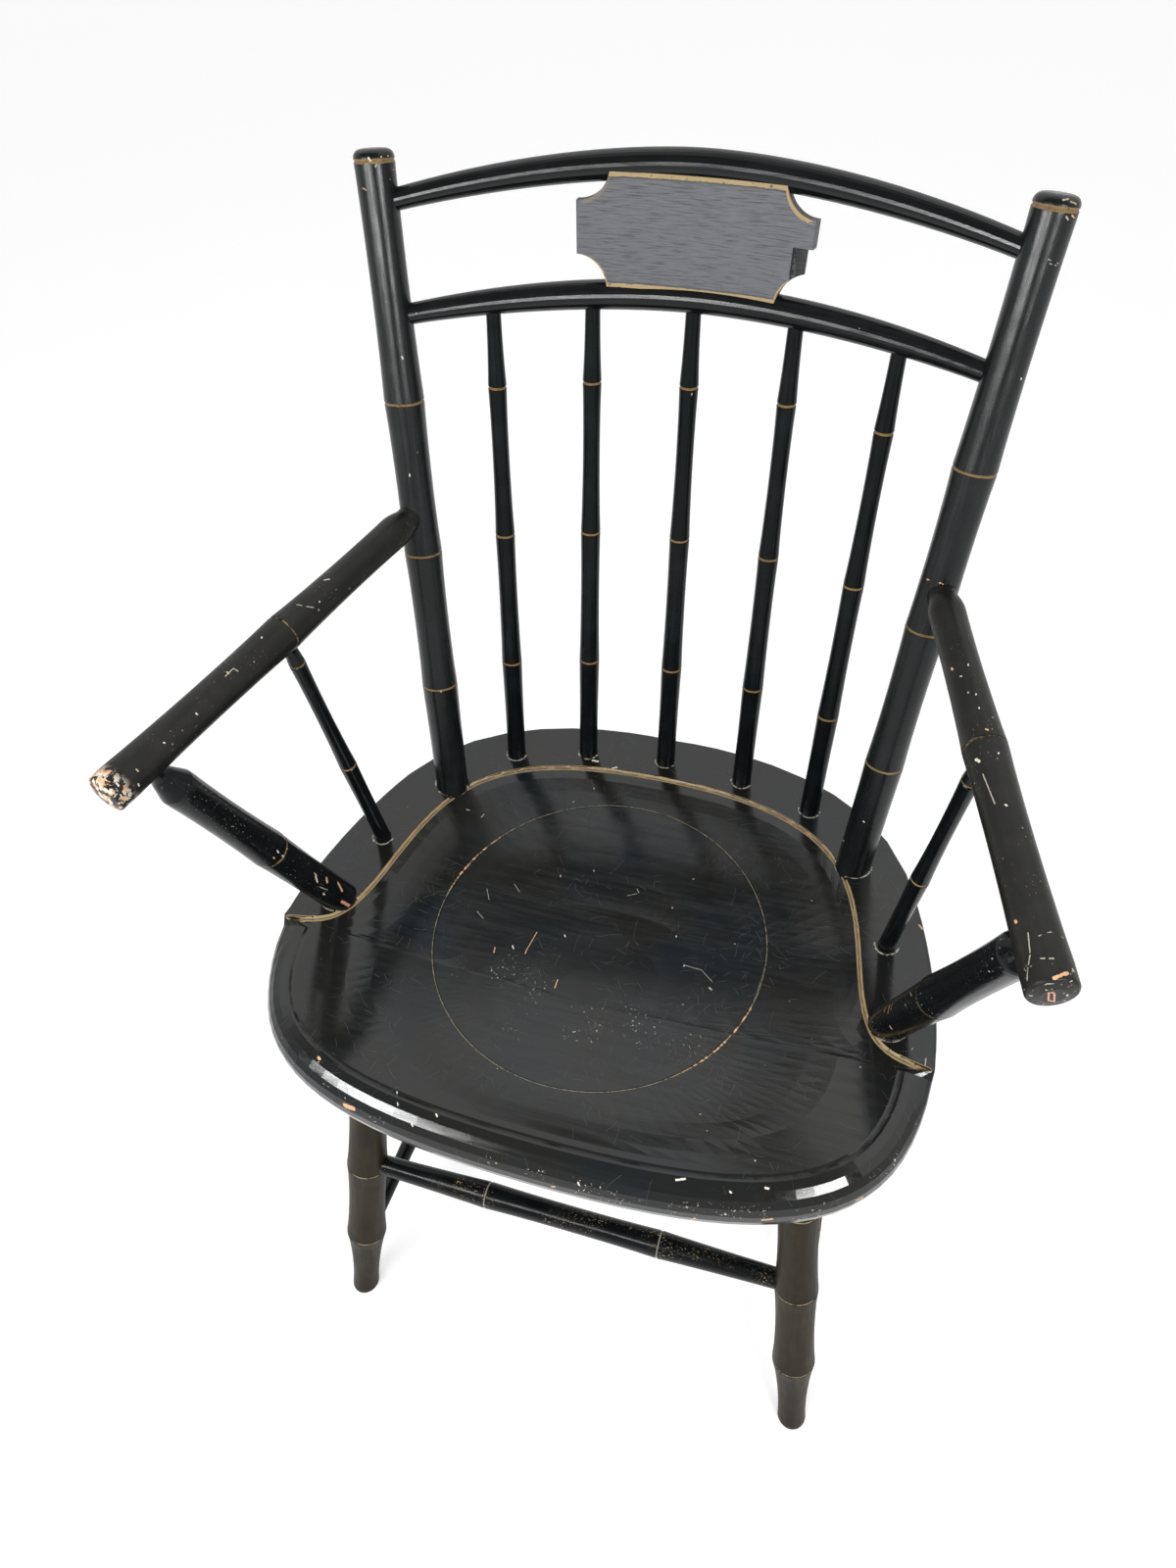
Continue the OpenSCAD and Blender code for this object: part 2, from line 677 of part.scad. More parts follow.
module arm(side) {
  l = arm_len(side);
  n = 0.476 * l;
  s0 = 28;
  r0 = arm_node_r - 1.3;
  s4 = 0.95 * l;
  difference() {
    along(arm_a, arm_b(side))
      lathe(concat(
        [[0.4, arm_back_r - 0.8], [1.2, arm_back_r], [stile_node_r + 1.5, arm_back_r]],
        [for (i = [1 : 4]) let(t = i / 4)
          [lerp(stile_node_r + 1.5, s0, t), lerp(arm_back_r, r0, sin(90 * t))]],
        between(s0, r0, n, arm_node_r, 0.9),
        ring_cut(n, arm_node_r),
        between(n, arm_node_r, s4, arm_front_r, 1.1),
        [[s4, arm_front_r]],
        [for (i = [0 : 5]) let(a = i * 18)
          [l - 2.4 * (1 - sin(a)), arm_front_r - 2 * (1 - cos(a))]],
        [[l + 1, arm_front_r - 7]]
      ));
    along(post_top(side), post_base)
      translate([0, 0, -4])
        cylinder(h = 2 * through, r = post_neck_r + fit_gap);
    along(arm_sp_top(side), arm_sp_base)
      translate([0, 0, -3])
        cylinder(h = 2 * through, r = arm_sp_top_r + fit_gap);
  }
}

module arm_post(side) {
  l = norm(post_top(side) - post_base);
  n = 0.402 * l;
  sh = l - (side > 0 ? taper_right : taper_left);
  nk = l - arm_front_r - 1.2;
  r_sh = post_r - 1.2;
  along(post_base, post_top(side))
    lathe(concat(
      tenon(socket_seat, post_foot_r),
      [[2, post_foot_r]],
      [for (i = [1 : 4]) let(t = i / 5)
        [lerp(2, n, t), lerp(post_foot_r, post_r - 0.5, t) - 0.3 * sin(180 * t)]],
      [[n - ring_w, post_r - 0.4], [n, post_r - 0.4 - ring_d]],
      [[n + ring_w, post_r - 0.2], [n + 4, post_r]],
      between(n + 4, post_r, sh - 6, r_sh, 0.9),
      [[sh - 6, r_sh], [sh - 2, r_sh - 0.2], [sh, r_sh - 0.9]],
      [[nk - 2, post_neck_r + 0.3], [nk, post_neck_r], [l + 2.6, post_neck_r], [l + 3.4, post_neck_r - 0.8]]
    ));
}

module arm_spindle(side) {
  l = norm(arm_sp_top(side) - arm_sp_base);
  n = 0.4 * l;
  n2 = 0.878 * l;
  along(arm_sp_base, arm_sp_top(side))
    lathe(concat(
      tenon(socket_small, arm_sp_foot_r),
      [[1, arm_sp_foot_r]],
      [for (i = [1 : 4]) let(t = i / 5)
        [lerp(1, n, t), lerp(arm_sp_foot_r, arm_spindle_r, t) - 0.3 * sin(180 * t)]],
      ring_cut(n, arm_spindle_r),
      between(n, arm_spindle_r, n2, arm_spindle_r - 0.7, 0.8),
      ring_cut(n2, arm_spindle_r - 0.7),
      [[l - 15, arm_sp_top_r], [l + 1.6, arm_sp_top_r], [l + 2.4, arm_sp_top_r - 0.8]]
    ));
}

// Legs and stretchers

module leg(foot, top) {
  l = norm(top - foot);
  k = l / z_low;
  n1 = leg_node1 * k;
  n2 = leg_node2 * k;
  n3 = leg_node3 * k;
  r2 = leg_r - 0.3;
  r3 = leg_r - 1.2;
  leg_in = socket_seat - tenon_end;
  difference() {
    along(foot, top)
      lathe(concat(
        [[-8, foot_r - 0.1], [0, foot_r]],
        between(0, foot_r, n1, leg_r, 2),
        ring_cut(n1, leg_r),
        between(n1, leg_r, n2, r2, 1.7),
        ring_cut(n2, r2),
        between(n2, r2, n3, r3, 1.5),
        ring_cut(n3, r3),
        between(n3, r3, l - 4, leg_top_r, 0.2),
        [[l - 4, leg_top_r], [l + leg_in - 1, leg_top_r], [l + leg_in, leg_top_r - 1]]
      ));
    translate([foot[0], foot[1], -20])
      cube([80, 80, 40], center = true);
    children();
  }
}

module leg_front() {
  leg(ff, ft) {
    union() {
      socket_in(leg_at(ff, ft, cross_h), mirror_x(leg_at(ff, ft, cross_h)), cross_end_r, 4);
      socket_in(leg_at(ff, ft, side_h), leg_at(rf, rt, side_h), side_end_r, 4);
    }
  }
}

module leg_rear() {
  leg(rf, rt) {
    union() {
      socket_in(leg_at(rf, rt, cross_h), mirror_x(leg_at(rf, rt, cross_h)), cross_end_r, 4);
      socket_in(leg_at(rf, rt, side_h), leg_at(ff, ft, side_h), side_end_r, 4);
    }
  }
}

module stretcher(a, b, r_end, r_node, split, hollow) {
  l = norm(b - a);
  n1 = l * (0.5 - split);
  n2 = l * (0.5 + split);
  along(a, b)
    lathe(concat(
      [[-3, r_end - 0.8], [-2.2, r_end], [18, r_end]],
      between(18, r_end, n1, r_node, 0.3),
      ring_cut(n1, r_node),
      between(n1, r_node, n2, r_node, hollow),
      ring_cut(n2, r_node),
      between(n2, r_node, l - 18, r_end, 0.3),
      [[l - 18, r_end], [l + 2.2, r_end], [l + 3, r_end - 0.8]]
    ));
}

module cross_bar(foot, top) {
  a = leg_at(foot, top, cross_h);
  stretcher(mirror_x(a), a, cross_end_r, cross_r, 0.2, 1);
}

// Every module below is one piece, already in its place

module set_in() {
  translate([0, plan_shift, 0]) children();
}

module seat() {
  color(paint) set_in() seat_solid();
}

module seat_disc() {
  color(paint) set_in() disc_solid();
}

module stile_left() {
  color(paint) set_in() mirror([1, 0, 0]) stile(-1);
}

module stile_right() {
  color(paint) set_in() stile(1);
}

module top_rail() {
  color(paint) set_in() top_rail_solid();
}

module middle_rail() {
  color(paint) set_in() mid_rail_solid();
}

module tablet() {
  color(plate_paint) set_in() tablet_solid();
}

module spindle_1() {
  color(paint) set_in() back_spindle(0);
}

module spindle_2() {
  color(paint) set_in() back_spindle(1);
}

module spindle_3() {
  color(paint) set_in() back_spindle(2);
}

module spindle_4() {
  color(paint) set_in() back_spindle(3);
}

module spindle_5() {
  color(paint) set_in() back_spindle(4);
}

module arm_left() {
  color(arm_paint) set_in() mirror([1, 0, 0]) arm(-1);
}

module arm_right() {
  color(arm_paint) set_in() arm(1);
}

module arm_post_left() {
  color(paint) set_in() mirror([1, 0, 0]) arm_post(-1);
}

module arm_post_right() {
  color(paint) set_in() arm_post(1);
}

module arm_spindle_left() {
  color(paint) set_in() mirror([1, 0, 0]) arm_spindle(-1);
}

module arm_spindle_right() {
  color(paint) set_in() arm_spindle(1);
}

module leg_front_left() {
  color(leg_paint) set_in() mirror([1, 0, 0]) leg_front();
}

module leg_front_right() {
  color(leg_paint) set_in() leg_front();
}

module leg_rear_left() {
  color(leg_paint) set_in() mirror([1, 0, 0]) leg_rear();
}

module leg_rear_right() {
  color(leg_paint) set_in() leg_rear();
}

module stretcher_front() {
  color(paint) set_in() cross_bar(ff, ft);
}

module stretcher_rear() {
  color(paint) set_in() cross_bar(rf, rt);
}

module stretcher_left() {
  color(paint) set_in() mirror([1, 0, 0])
    stretcher(leg_at(ff, ft, side_h), leg_at(rf, rt, side_h), side_end_r, side_r, 0.18, 0.5);
}

module stretcher_right() {
  color(paint) set_in()
    stretcher(leg_at(ff, ft, side_h), leg_at(rf, rt, side_h), side_end_r, side_r, 0.18, 0.5);
}

seat();
seat_disc();
stile_left();
stile_right();
top_rail();
middle_rail();
tablet();
spindle_1();
spindle_2();
spindle_3();
spindle_4();
spindle_5();
arm_left();
arm_right();
arm_post_left();
arm_post_right();
arm_spindle_left();
arm_spindle_right();
leg_front_left();
leg_front_right();
leg_rear_left();
leg_rear_right();
stretcher_front();
stretcher_rear();
stretcher_left();
stretcher_right();
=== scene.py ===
"""Dresses the windsor armchair: worn black gloss on turned sticks and a dished seat, brown legs,
a rubbed grey tablet, and ochre lines."""

import math

import bpy
import numpy as np
from mathutils import Matrix, Vector
from mathutils.bvhtree import BVHTree


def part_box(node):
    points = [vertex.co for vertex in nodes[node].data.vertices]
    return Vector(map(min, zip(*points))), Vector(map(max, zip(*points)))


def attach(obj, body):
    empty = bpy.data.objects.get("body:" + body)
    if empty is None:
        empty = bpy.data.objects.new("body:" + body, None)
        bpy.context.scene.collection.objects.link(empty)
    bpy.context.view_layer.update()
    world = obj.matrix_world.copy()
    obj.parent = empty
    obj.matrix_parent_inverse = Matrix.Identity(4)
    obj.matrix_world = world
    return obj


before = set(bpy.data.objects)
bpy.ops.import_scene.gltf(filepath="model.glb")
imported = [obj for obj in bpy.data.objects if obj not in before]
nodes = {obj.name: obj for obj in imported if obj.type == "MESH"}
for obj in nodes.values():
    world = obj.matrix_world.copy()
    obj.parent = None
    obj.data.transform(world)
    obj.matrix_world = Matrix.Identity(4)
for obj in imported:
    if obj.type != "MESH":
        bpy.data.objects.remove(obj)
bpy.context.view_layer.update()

MM = 0.001

# The seat, in metres in the frame of the chair
SEAT_TOP = 0.411
HALF_WIDTH = 0.239
WIDE_Y = -0.08095  # where the seat is widest
REACH_BACK = 0.242  # from there to the back edge
GROOVE_BACK = 0.0435  # from the back edge to the scribed groove
GROOVE_SIDE = 0.058  # from the widest point of a side to the groove
DISC_CENTRE = (-0.006, -0.03595, 0.0)
DISC_RADIUS = 0.1225

# Colours, linear
BLACK = (0.003, 0.0038, 0.0042, 1)
BLACK_SOFT = (0.0055, 0.0065, 0.007, 1)
SEAT_BLACK = (0.009, 0.009, 0.0078, 1)
SEAT_BLUE = (0.006, 0.0095, 0.012, 1)
ARM_BLACK = (0.0068, 0.0065, 0.0054, 1)
BARE_WOOD = (0.05, 0.03, 0.018, 1)
OCHRE = (0.3, 0.2, 0.085, 1)
OCHRE_PALE = (0.37, 0.28, 0.14, 1)
OCHRE_DARK = (0.1, 0.075, 0.04, 1)
GROOVE_CORE = (0.05, 0.043, 0.03, 1)
PALE = (0.4, 0.37, 0.31, 1)
WHITE = (0.66, 0.62, 0.54, 1)
SCRATCH_GREY = (0.1, 0.105, 0.105, 1)
JOINT_PALE = (0.2, 0.17, 0.11, 1)
TAN = (0.6, 0.36, 0.19, 1)
PINK = (0.55, 0.27, 0.2, 1)
LEG_BROWN = (0.021, 0.0148, 0.005, 1)
LEG_DARK = (0.0085, 0.006, 0.0022, 1)
LEG_RED = (0.031, 0.017, 0.009, 1)
LEG_STREAK = (0.045, 0.034, 0.018, 1)
LEG_LINE = (0.27, 0.22, 0.13, 1)
LEG_PAINTED_SHADE = (0.01, 0.008, 0.006, 1)
LEG_FOOT = (0.02, 0.016, 0.012, 1)
TABLET_GREY = (0.1, 0.103, 0.114, 1)
TABLET_PALE = (0.11, 0.115, 0.128, 1)
TABLET_DARK = (0.045, 0.047, 0.053, 1)
BREAK_DARK = (0.02, 0.021, 0.023, 1)
BREAK_PALE = (0.13, 0.135, 0.145, 1)

# Camera: it looks down on the chair from in front, a little to the right. Angles are in degrees
CAMERA_PLACE = (0.15755, -0.45254, 1.10457)
CAMERA_YAW = 21.22
CAMERA_PITCH = -51.13
CAMERA_ROLL = -5.38
PHOTO_WIDTH = 1200
PHOTO_HEIGHT = 1600
FOCAL_PIXELS = 1149.9
CENTRE_PIXEL = (601.0, 829.5)
SENSOR_WIDTH = 36.0
CLIP_START = 0.02


def camera_axes():
    """Right, up and forward directions of the camera."""
    yaw, pitch, roll = (math.radians(v) for v in (CAMERA_YAW, CAMERA_PITCH, CAMERA_ROLL))
    level = math.cos(pitch)
    look = Vector((-math.sin(yaw) * level, math.cos(yaw) * level, math.sin(pitch)))
    right = look.cross(Vector((0, 0, 1))).normalized()
    up = right.cross(look)
    return (right * math.cos(roll) + up * math.sin(roll),
            up * math.cos(roll) - right * math.sin(roll), look)


def make_camera():
    right, up, look = camera_axes()
    data = bpy.data.cameras.new("camera")
    data.sensor_fit = "HORIZONTAL"
    data.sensor_width = SENSOR_WIDTH
    data.lens = FOCAL_PIXELS / PHOTO_WIDTH * SENSOR_WIDTH
    data.shift_x = (PHOTO_WIDTH / 2 - CENTRE_PIXEL[0]) / PHOTO_WIDTH
    data.shift_y = (CENTRE_PIXEL[1] - PHOTO_HEIGHT / 2) / PHOTO_WIDTH
    data.clip_start = CLIP_START
    obj = bpy.data.objects.new("camera", data)
    bpy.context.collection.objects.link(obj)
    obj.matrix_world = Matrix((
        (right.x, up.x, -look.x, CAMERA_PLACE[0]),
        (right.y, up.y, -look.y, CAMERA_PLACE[1]),
        (right.z, up.z, -look.z, CAMERA_PLACE[2]),
        (0, 0, 0, 1),
    ))
    bpy.context.scene.camera = obj


# Places on the surface of a part

trees = {}


def surface(name):
    """A part's mesh, ready for rays."""
    if name not in trees:
        mesh = nodes[name].data
        trees[name] = BVHTree.FromPolygons([v.co for v in mesh.vertices],
                                           [p.vertices for p in mesh.polygons])
    return trees[name]


def seen_at(name, pixel):
    """The point of a part that a pixel of the photo shows, or the nearest to its line of sight."""
    right, up, look = camera_axes()
    start = Vector(CAMERA_PLACE)
    line = look + right * ((pixel[0] - CENTRE_PIXEL[0]) / FOCAL_PIXELS)
    line = (line - up * ((pixel[1] - CENTRE_PIXEL[1]) / FOCAL_PIXELS)).normalized()
    hit = surface(name).ray_cast(start, line)[0]
    if hit is None:
        low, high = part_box(name)
        middle = (Vector(low) + Vector(high)) / 2
        hit = surface(name).find_nearest(start + line * (middle - start).dot(line))[0]
    return hit


class Graph:
    """Adds nodes to a node tree. A socket takes a number, a colour or another node's output."""

    def __init__(self, tree):
        self.tree = tree

    def put(self, value, socket):
        if isinstance(value, bpy.types.NodeSocket):
            self.tree.links.new(value, socket)
        elif value is not None:
            socket.default_value = value

    def place(self, kind="Object"):
        """Texture coordinates. Those of the object are the frame's own metres."""
        return self.tree.nodes.new("ShaderNodeTexCoord").outputs[kind]

    def mapped(self, vector, location=(0, 0, 0), rotation=(0, 0, 0), scale=(1, 1, 1)):
        n = self.tree.nodes.new("ShaderNodeMapping")
        self.put(vector, n.inputs["Vector"])
        n.inputs["Location"].default_value = location
        n.inputs["Rotation"].default_value = rotation
        n.inputs["Scale"].default_value = scale
        return n.outputs[0]

    def math(self, op, a, b=None, clamp=False):
        n = self.tree.nodes.new("ShaderNodeMath")
        n.operation = op
        n.use_clamp = clamp
        self.put(a, n.inputs[0])
        self.put(b, n.inputs[1])
        return n.outputs[0]

    def plus(self, a, b, clamp=False):
        return self.math("ADD", a, b, clamp)

    def minus(self, a, b):
        return self.math("SUBTRACT", a, b)

    def times(self, product, *others):
        for value in others:
            product = self.math("MULTIPLY", product, value)
        return product

    def below(self, a, b):
        """1 where a is less than b, else 0."""
        return self.math("LESS_THAN", a, b)

    def most(self, best, *others):
        for value in others:
            best = self.math("MAXIMUM", best, value)
        return best

    def vector(self, op, a, b=None):
        n = self.tree.nodes.new("ShaderNodeVectorMath")
        n.operation = op
        self.put(a, n.inputs[0])
        self.put(b, n.inputs[1])
        return n.outputs["Value"] if op in ("LENGTH", "DOT_PRODUCT") else n.outputs[0]

    def scaled(self, vector, factor):
        n = self.tree.nodes.new("ShaderNodeVectorMath")
        n.operation = "SCALE"
        self.put(vector, n.inputs[0])
        self.put(factor, n.inputs["Scale"])
        return n.outputs[0]

    def parts(self, vector):
        n = self.tree.nodes.new("ShaderNodeSeparateXYZ")
        self.put(vector, n.inputs[0])
        return n.outputs

    def joined(self, x, y, z):
        n = self.tree.nodes.new("ShaderNodeCombineXYZ")
        for value, socket in zip((x, y, z), n.inputs):
            self.put(value, socket)
        return n.outputs[0]

    def noise(self, vector, scale, detail=3.0, rough=0.55, distortion=0.0):
        """Noise of 0 to 1 about 0.5; scale is in features per metre."""
        n = self.tree.nodes.new("ShaderNodeTexNoise")
        self.put(vector, n.inputs["Vector"])
        n.inputs["Scale"].default_value = scale
        n.inputs["Detail"].default_value = detail
        n.inputs["Roughness"].default_value = rough
        n.inputs["Distortion"].default_value = distortion
        return n.outputs["Fac"]

    def shake(self, vector, scale, amount, detail=2.0, rough=0.55):
        """Noise about zero, with amount between its ends."""
        return self.times(self.minus(self.noise(vector, scale, detail, rough), 0.5), amount)

    def cells(self, vector, per_metre):
        """Distance to scattered points, a random number for each and its place."""
        n = self.tree.nodes.new("ShaderNodeTexVoronoi")
        self.put(vector, n.inputs["Vector"])
        n.inputs["Scale"].default_value = per_metre
        return n.outputs["Distance"], self.parts(n.outputs["Color"])[0], n.outputs["Position"]

    def ramp(self, value, low, high, to_low=0.0, to_high=1.0):
        """A smooth step: to_low up to low, to_high from high on. Low may be the greater one."""
        n = self.tree.nodes.new("ShaderNodeMapRange")
        n.interpolation_type = "SMOOTHSTEP"
        for v, socket in zip((value, low, high, to_low, to_high), list(n.inputs)[:5]):
            self.put(v, socket)
        return n.outputs[0]

    def fall(self, value, low, high):
        """A smooth step down: 1 up to low, 0 from high on."""
        return self.ramp(value, low, high, 1.0, 0.0)

    def mix(self, fac, a, b):
        n = self.tree.nodes.new("ShaderNodeMix")
        n.data_type = "RGBA"
        self.put(fac, n.inputs["Factor"])
        self.put(a, n.inputs[6])
        self.put(b, n.inputs[7])
        return n.outputs[2]


class Paint(Graph):
    """One material, with its surface shader and its output."""

    def __init__(self, name):
        self.mat = bpy.data.materials.new(name)
        self.mat.use_nodes = True
        super().__init__(self.mat.node_tree)
        self.tree.nodes.clear()
        self.out = self.tree.nodes.new("ShaderNodeOutputMaterial")
        self.bsdf = self.tree.nodes.new("ShaderNodeBsdfPrincipled")
        self.tree.links.new(self.bsdf.outputs[0], self.out.inputs[0])

    def finish(self, colour, roughness, height, relief, level):
        """Closes the material; relief is the bump's depth in millimetres and level its shine."""
        self.put(colour, self.bsdf.inputs["Base Color"])
        self.put(roughness, self.bsdf.inputs["Roughness"])
        self.bsdf.inputs["Specular IOR Level"].default_value = level
        bump = self.tree.nodes.new("ShaderNodeBump")
        bump.inputs["Distance"].default_value = relief * MM
        self.put(height, bump.inputs["Height"])
        self.put(bump.outputs[0], self.bsdf.inputs["Normal"])
        return self.mat


def shaded(colour, share):
    """A colour times a number."""
    return tuple(c * share for c in colour[:3]) + (1,)


# Marks on the paint, by part: the pixels of the photo at their two ends, their width in units of
# MARK_WIDTH, and their colour. Those on the disc are finer by DISC_MARK_SHARE
MARK_WIDTH = 0.75 * MM
DISC_MARK_SHARE = 0.65
MARK_LEAST_LENGTH = 0.4 * MM
MARK_RAGGED_SCALE = 1100
MARK_RAGGED_SHARE = 0.9
MARKS = {
    "stile_left": [
        ((373, 167), (380, 165), 1.4, OCHRE), ((376, 161), (378, 164), 1.4, WHITE),
        ((383, 166), (388, 163), 1.4, OCHRE), ((384, 168), (383, 170), 1.0, PALE),
        ((389, 160), (389, 160), 1.0, WHITE), ((396, 159), (396, 159), 1.0, WHITE),
        ((374, 194), (370, 192), 1.0, OCHRE_PALE), ((401, 173), (402, 173), 1.0, OCHRE),
        ((398, 183), (398, 183), 0.9, PALE), ((410, 364), (411, 366), 1.3, WHITE),
        ((418, 484), (418, 486), 1.3, WHITE), ((450, 705), (450, 706), 1.2, PALE),
    ],
    "stile_right": [
        ((1085, 204), (1090, 203), 1.4, PALE), ((1093, 206), (1098, 208), 1.4, OCHRE_PALE),
        ((1088, 221), (1090, 224), 1.2, PALE), ((1094, 220), (1096, 222), 1.2, TAN),
        ((1070, 265), (1080, 269), 0.8, PALE), ((1071, 269), (1078, 271), 0.6, PALE),
        ((1042, 386), (1042, 387), 1.4, WHITE), ((881, 838), (882, 839), 1.3, WHITE),
        ((860, 858), (861, 858), 1.1, PALE), ((946, 591), (960, 595), 1.3, TAN),
        ((962, 596), (975, 601), 1.0, TAN),
    ],
    "arm_left": [
        ((96, 801), (103, 793), 2.2, TAN), ((105, 790), (112, 787), 1.2, TAN),
        ((99, 815), (101, 819), 2.0, WHITE), ((108, 806), (113, 809), 1.8, WHITE),
        ((119, 799), (121, 802), 1.4, WHITE), ((112, 820), (115, 822), 1.6, PINK),
        ((123, 811), (124, 813), 1.2, WHITE), ((105, 812), (106, 813), 1.2, PINK),
        ((200, 728), (201, 729), 1.3, WHITE), ((167, 758), (168, 758), 1.2, WHITE),
        ((139, 785), (141, 787), 1.2, PALE), ((141, 800), (142, 802), 1.2, WHITE),
        ((331, 592), (336, 591), 1.1, WHITE), ((326, 614), (326, 614), 1.5, WHITE),
        ((335, 583), (335, 583), 1.0, PALE), ((303, 617), (308, 618), 0.8, PALE),
        ((313, 619), (320, 620), 0.8, PALE), ((267, 650), (267, 651), 1.1, WHITE),
        ((230, 690), (238, 682), 0.8, PALE), ((238, 682), (243, 685), 0.8, PALE),
        ((232, 686), (233, 687), 1.6, TAN),
    ],
    "arm_right": [
        ((1076, 998), (1089, 993), 2.4, TAN), ((1045, 1010), (1068, 1004), 0.9, PALE),
        ((1068, 1004), (1094, 1001), 0.9, PALE), ((1070, 1013), (1075, 1013), 1.4, PINK),
        ((1070, 1013), (1070, 1020), 1.2, PINK), ((1076, 1014), (1076, 1021), 1.2, PINK),
        ((1070, 1021), (1076, 1022), 1.2, TAN), ((1049, 952), (1051, 972), 0.8, PALE),
        ((1051, 975), (1048, 1000), 0.9, PALE), ((1036, 940), (1037, 941), 2.0, TAN),
        ((1060, 955), (1072, 951), 0.7, PALE), ((1072, 951), (1085, 957), 0.7, PALE),
        ((1062, 978), (1066, 978), 0.9, PALE), ((1071, 978), (1075, 978), 0.9, PALE),
        ((971, 682), (972, 683), 1.8, TAN), ((988, 678), (988, 679), 1.2, WHITE),
        ((980, 690), (981, 690), 1.2, WHITE), ((988, 706), (988, 707), 1.2, PALE),
        ((996, 708), (996, 709), 1.2, WHITE), ((999, 722), (999, 723), 1.2, WHITE),
        ((1006, 744), (1008, 745), 1.6, TAN), ((996, 775), (999, 777), 2.4, WHITE),
        ((1019, 768), (1019, 769), 1.3, WHITE), ((1003, 790), (1009, 805), 0.8, PALE),
        ((1009, 805), (1015, 820), 0.8, PALE), ((1026, 821), (1027, 822), 1.4, WHITE),
    ],
    "arm_post_left": [
        ((322, 894), (324, 900), 1.6, WHITE), ((333, 896), (334, 900), 2.6, TAN),
        ((345, 901), (349, 909), 2.6, TAN), ((321, 891), (323, 893), 1.3, TAN),
        ((349, 920), (356, 924), 3.0, PINK), ((330, 912), (331, 913), 1.6, WHITE),
        ((326, 905), (334, 908), 0.7, PALE), ((283, 868), (284, 870), 1.4, WHITE),
        ((288, 873), (289, 874), 1.2, WHITE), ((279, 875), (280, 876), 1.2, TAN),
        ((292, 866), (293, 866), 1.1, PALE),
    ],
    "arm_post_right": [
        ((902, 1033), (904, 1028), 0.9, TAN), ((906, 1034), (908, 1026), 0.9, TAN),
        ((909, 1031), (911, 1024), 0.8, PINK), ((883, 1043), (884, 1045), 1.6, TAN),
        ((879, 1045), (886, 1043), 0.8, PINK), ((908, 1047), (910, 1050), 1.2, WHITE),
        ((929, 1013), (930, 1016), 0.9, PALE),
    ],
    "seat": [
        ((352, 1128), (360, 1131), 5.0, TAN), ((325, 1079), (326, 1081), 2.4, TAN),
        ((383, 1126), (383, 1129), 1.8, WHITE), ((405, 1114), (406, 1128), 1.0, WHITE),
        ((420, 1146), (421, 1149), 1.5, WHITE), ((445, 1137), (446, 1139), 1.5, WHITE),
        ((590, 1207), (591, 1209), 1.6, WHITE), ((563, 1211), (566, 1211), 1.8, TAN),
        ((690, 1204), (699, 1203), 1.8, WHITE), ((745, 1216), (746, 1217), 1.6, WHITE),
        ((781, 1212), (784, 1213), 1.8, WHITE), ((778, 1245), (788, 1244), 2.4, TAN),
        ((705, 1245), (709, 1243), 1.8, TAN), ((874, 1225), (880, 1222), 2.2, TAN),
        ((848, 1246), (853, 1244), 2.0, TAN), ((605, 776), (610, 777), 2.4, WHITE),
        ((625, 784), (629, 783), 2.0, WHITE), ((349, 925), (357, 921), 2.0, PINK),
        ((476, 826), (479, 827), 0.9, PALE), ((491, 834), (494, 831), 0.8, PALE),
        ((606, 804), (606, 805), 1.0, PALE), ((938, 944), (941, 948), 1.6, TAN),
        ((931, 1070), (927, 1085), 0.9, PALE), ((945, 1080), (944, 1087), 0.9, PALE),
    ],
    "seat_disc": [
        ((548, 951), (537, 970), 1.0, TAN), ((537, 970), (536, 973), 1.4, TAN),
        ((523, 965), (524, 968), 1.8, WHITE), ((505, 967), (504, 972), 1.6, PINK),
        ((569, 1000), (566, 1008), 1.4, TAN), ((576, 954), (577, 956), 1.5, WHITE),
        ((572, 893), (572, 895), 0.9, WHITE), ((650, 907), (652, 911), 0.7, PALE),
        ((707, 897), (708, 897), 1.4, TAN), ((690, 955), (690, 956), 1.3, WHITE),
        ((698, 985), (698, 986), 1.5, WHITE), ((699, 985), (716, 990), 0.7, PALE),
        ((716, 990), (727, 1002), 0.6, PALE), ((724, 1008), (726, 1010), 2.4, PALE),
        ((640, 914), (650, 912), 0.6, PALE), ((606, 888), (606, 889), 1.0, WHITE),
        ((525, 902), (530, 910), 0.6, PALE), ((497, 907), (499, 918), 0.6, PALE),
        ((487, 930), (493, 937), 0.7, PALE), ((686, 926), (686, 927), 1.1, WHITE),
    ],
    "spindle_3": [((706, 402), (706, 403), 1.1, PALE)],
}

# Flecks bend by a share of their cell. A scratch bows by the square of its length
SPECK_BEND = 0.5
SPECK_BEND_SCALE = 1.7
SCRATCH_BOW = 0.25
# Factors that turn a cell's random number into an angle and into a second random number
PICK_TO_ANGLE = 23.0
PICK_TO_SHARE = 37.0


def specks(s, place, per_metre, size, share, seed):
    """Scattered small flecks, in a share of the cells; 1 inside a fleck."""
    moved = s.vector("ADD", place, (seed, seed * 1.7, -seed))
    wobble = s.noise(moved, per_metre * SPECK_BEND_SCALE, 2.0)
    bend = s.joined(s.times(wobble, SPECK_BEND / per_metre), 0.0, 0.0)
    near, pick, _ = s.cells(s.vector("ADD", moved, bend), per_metre)
    return s.below(near, s.times(s.ramp(pick, 1 - share, 1.0), size * per_metre))


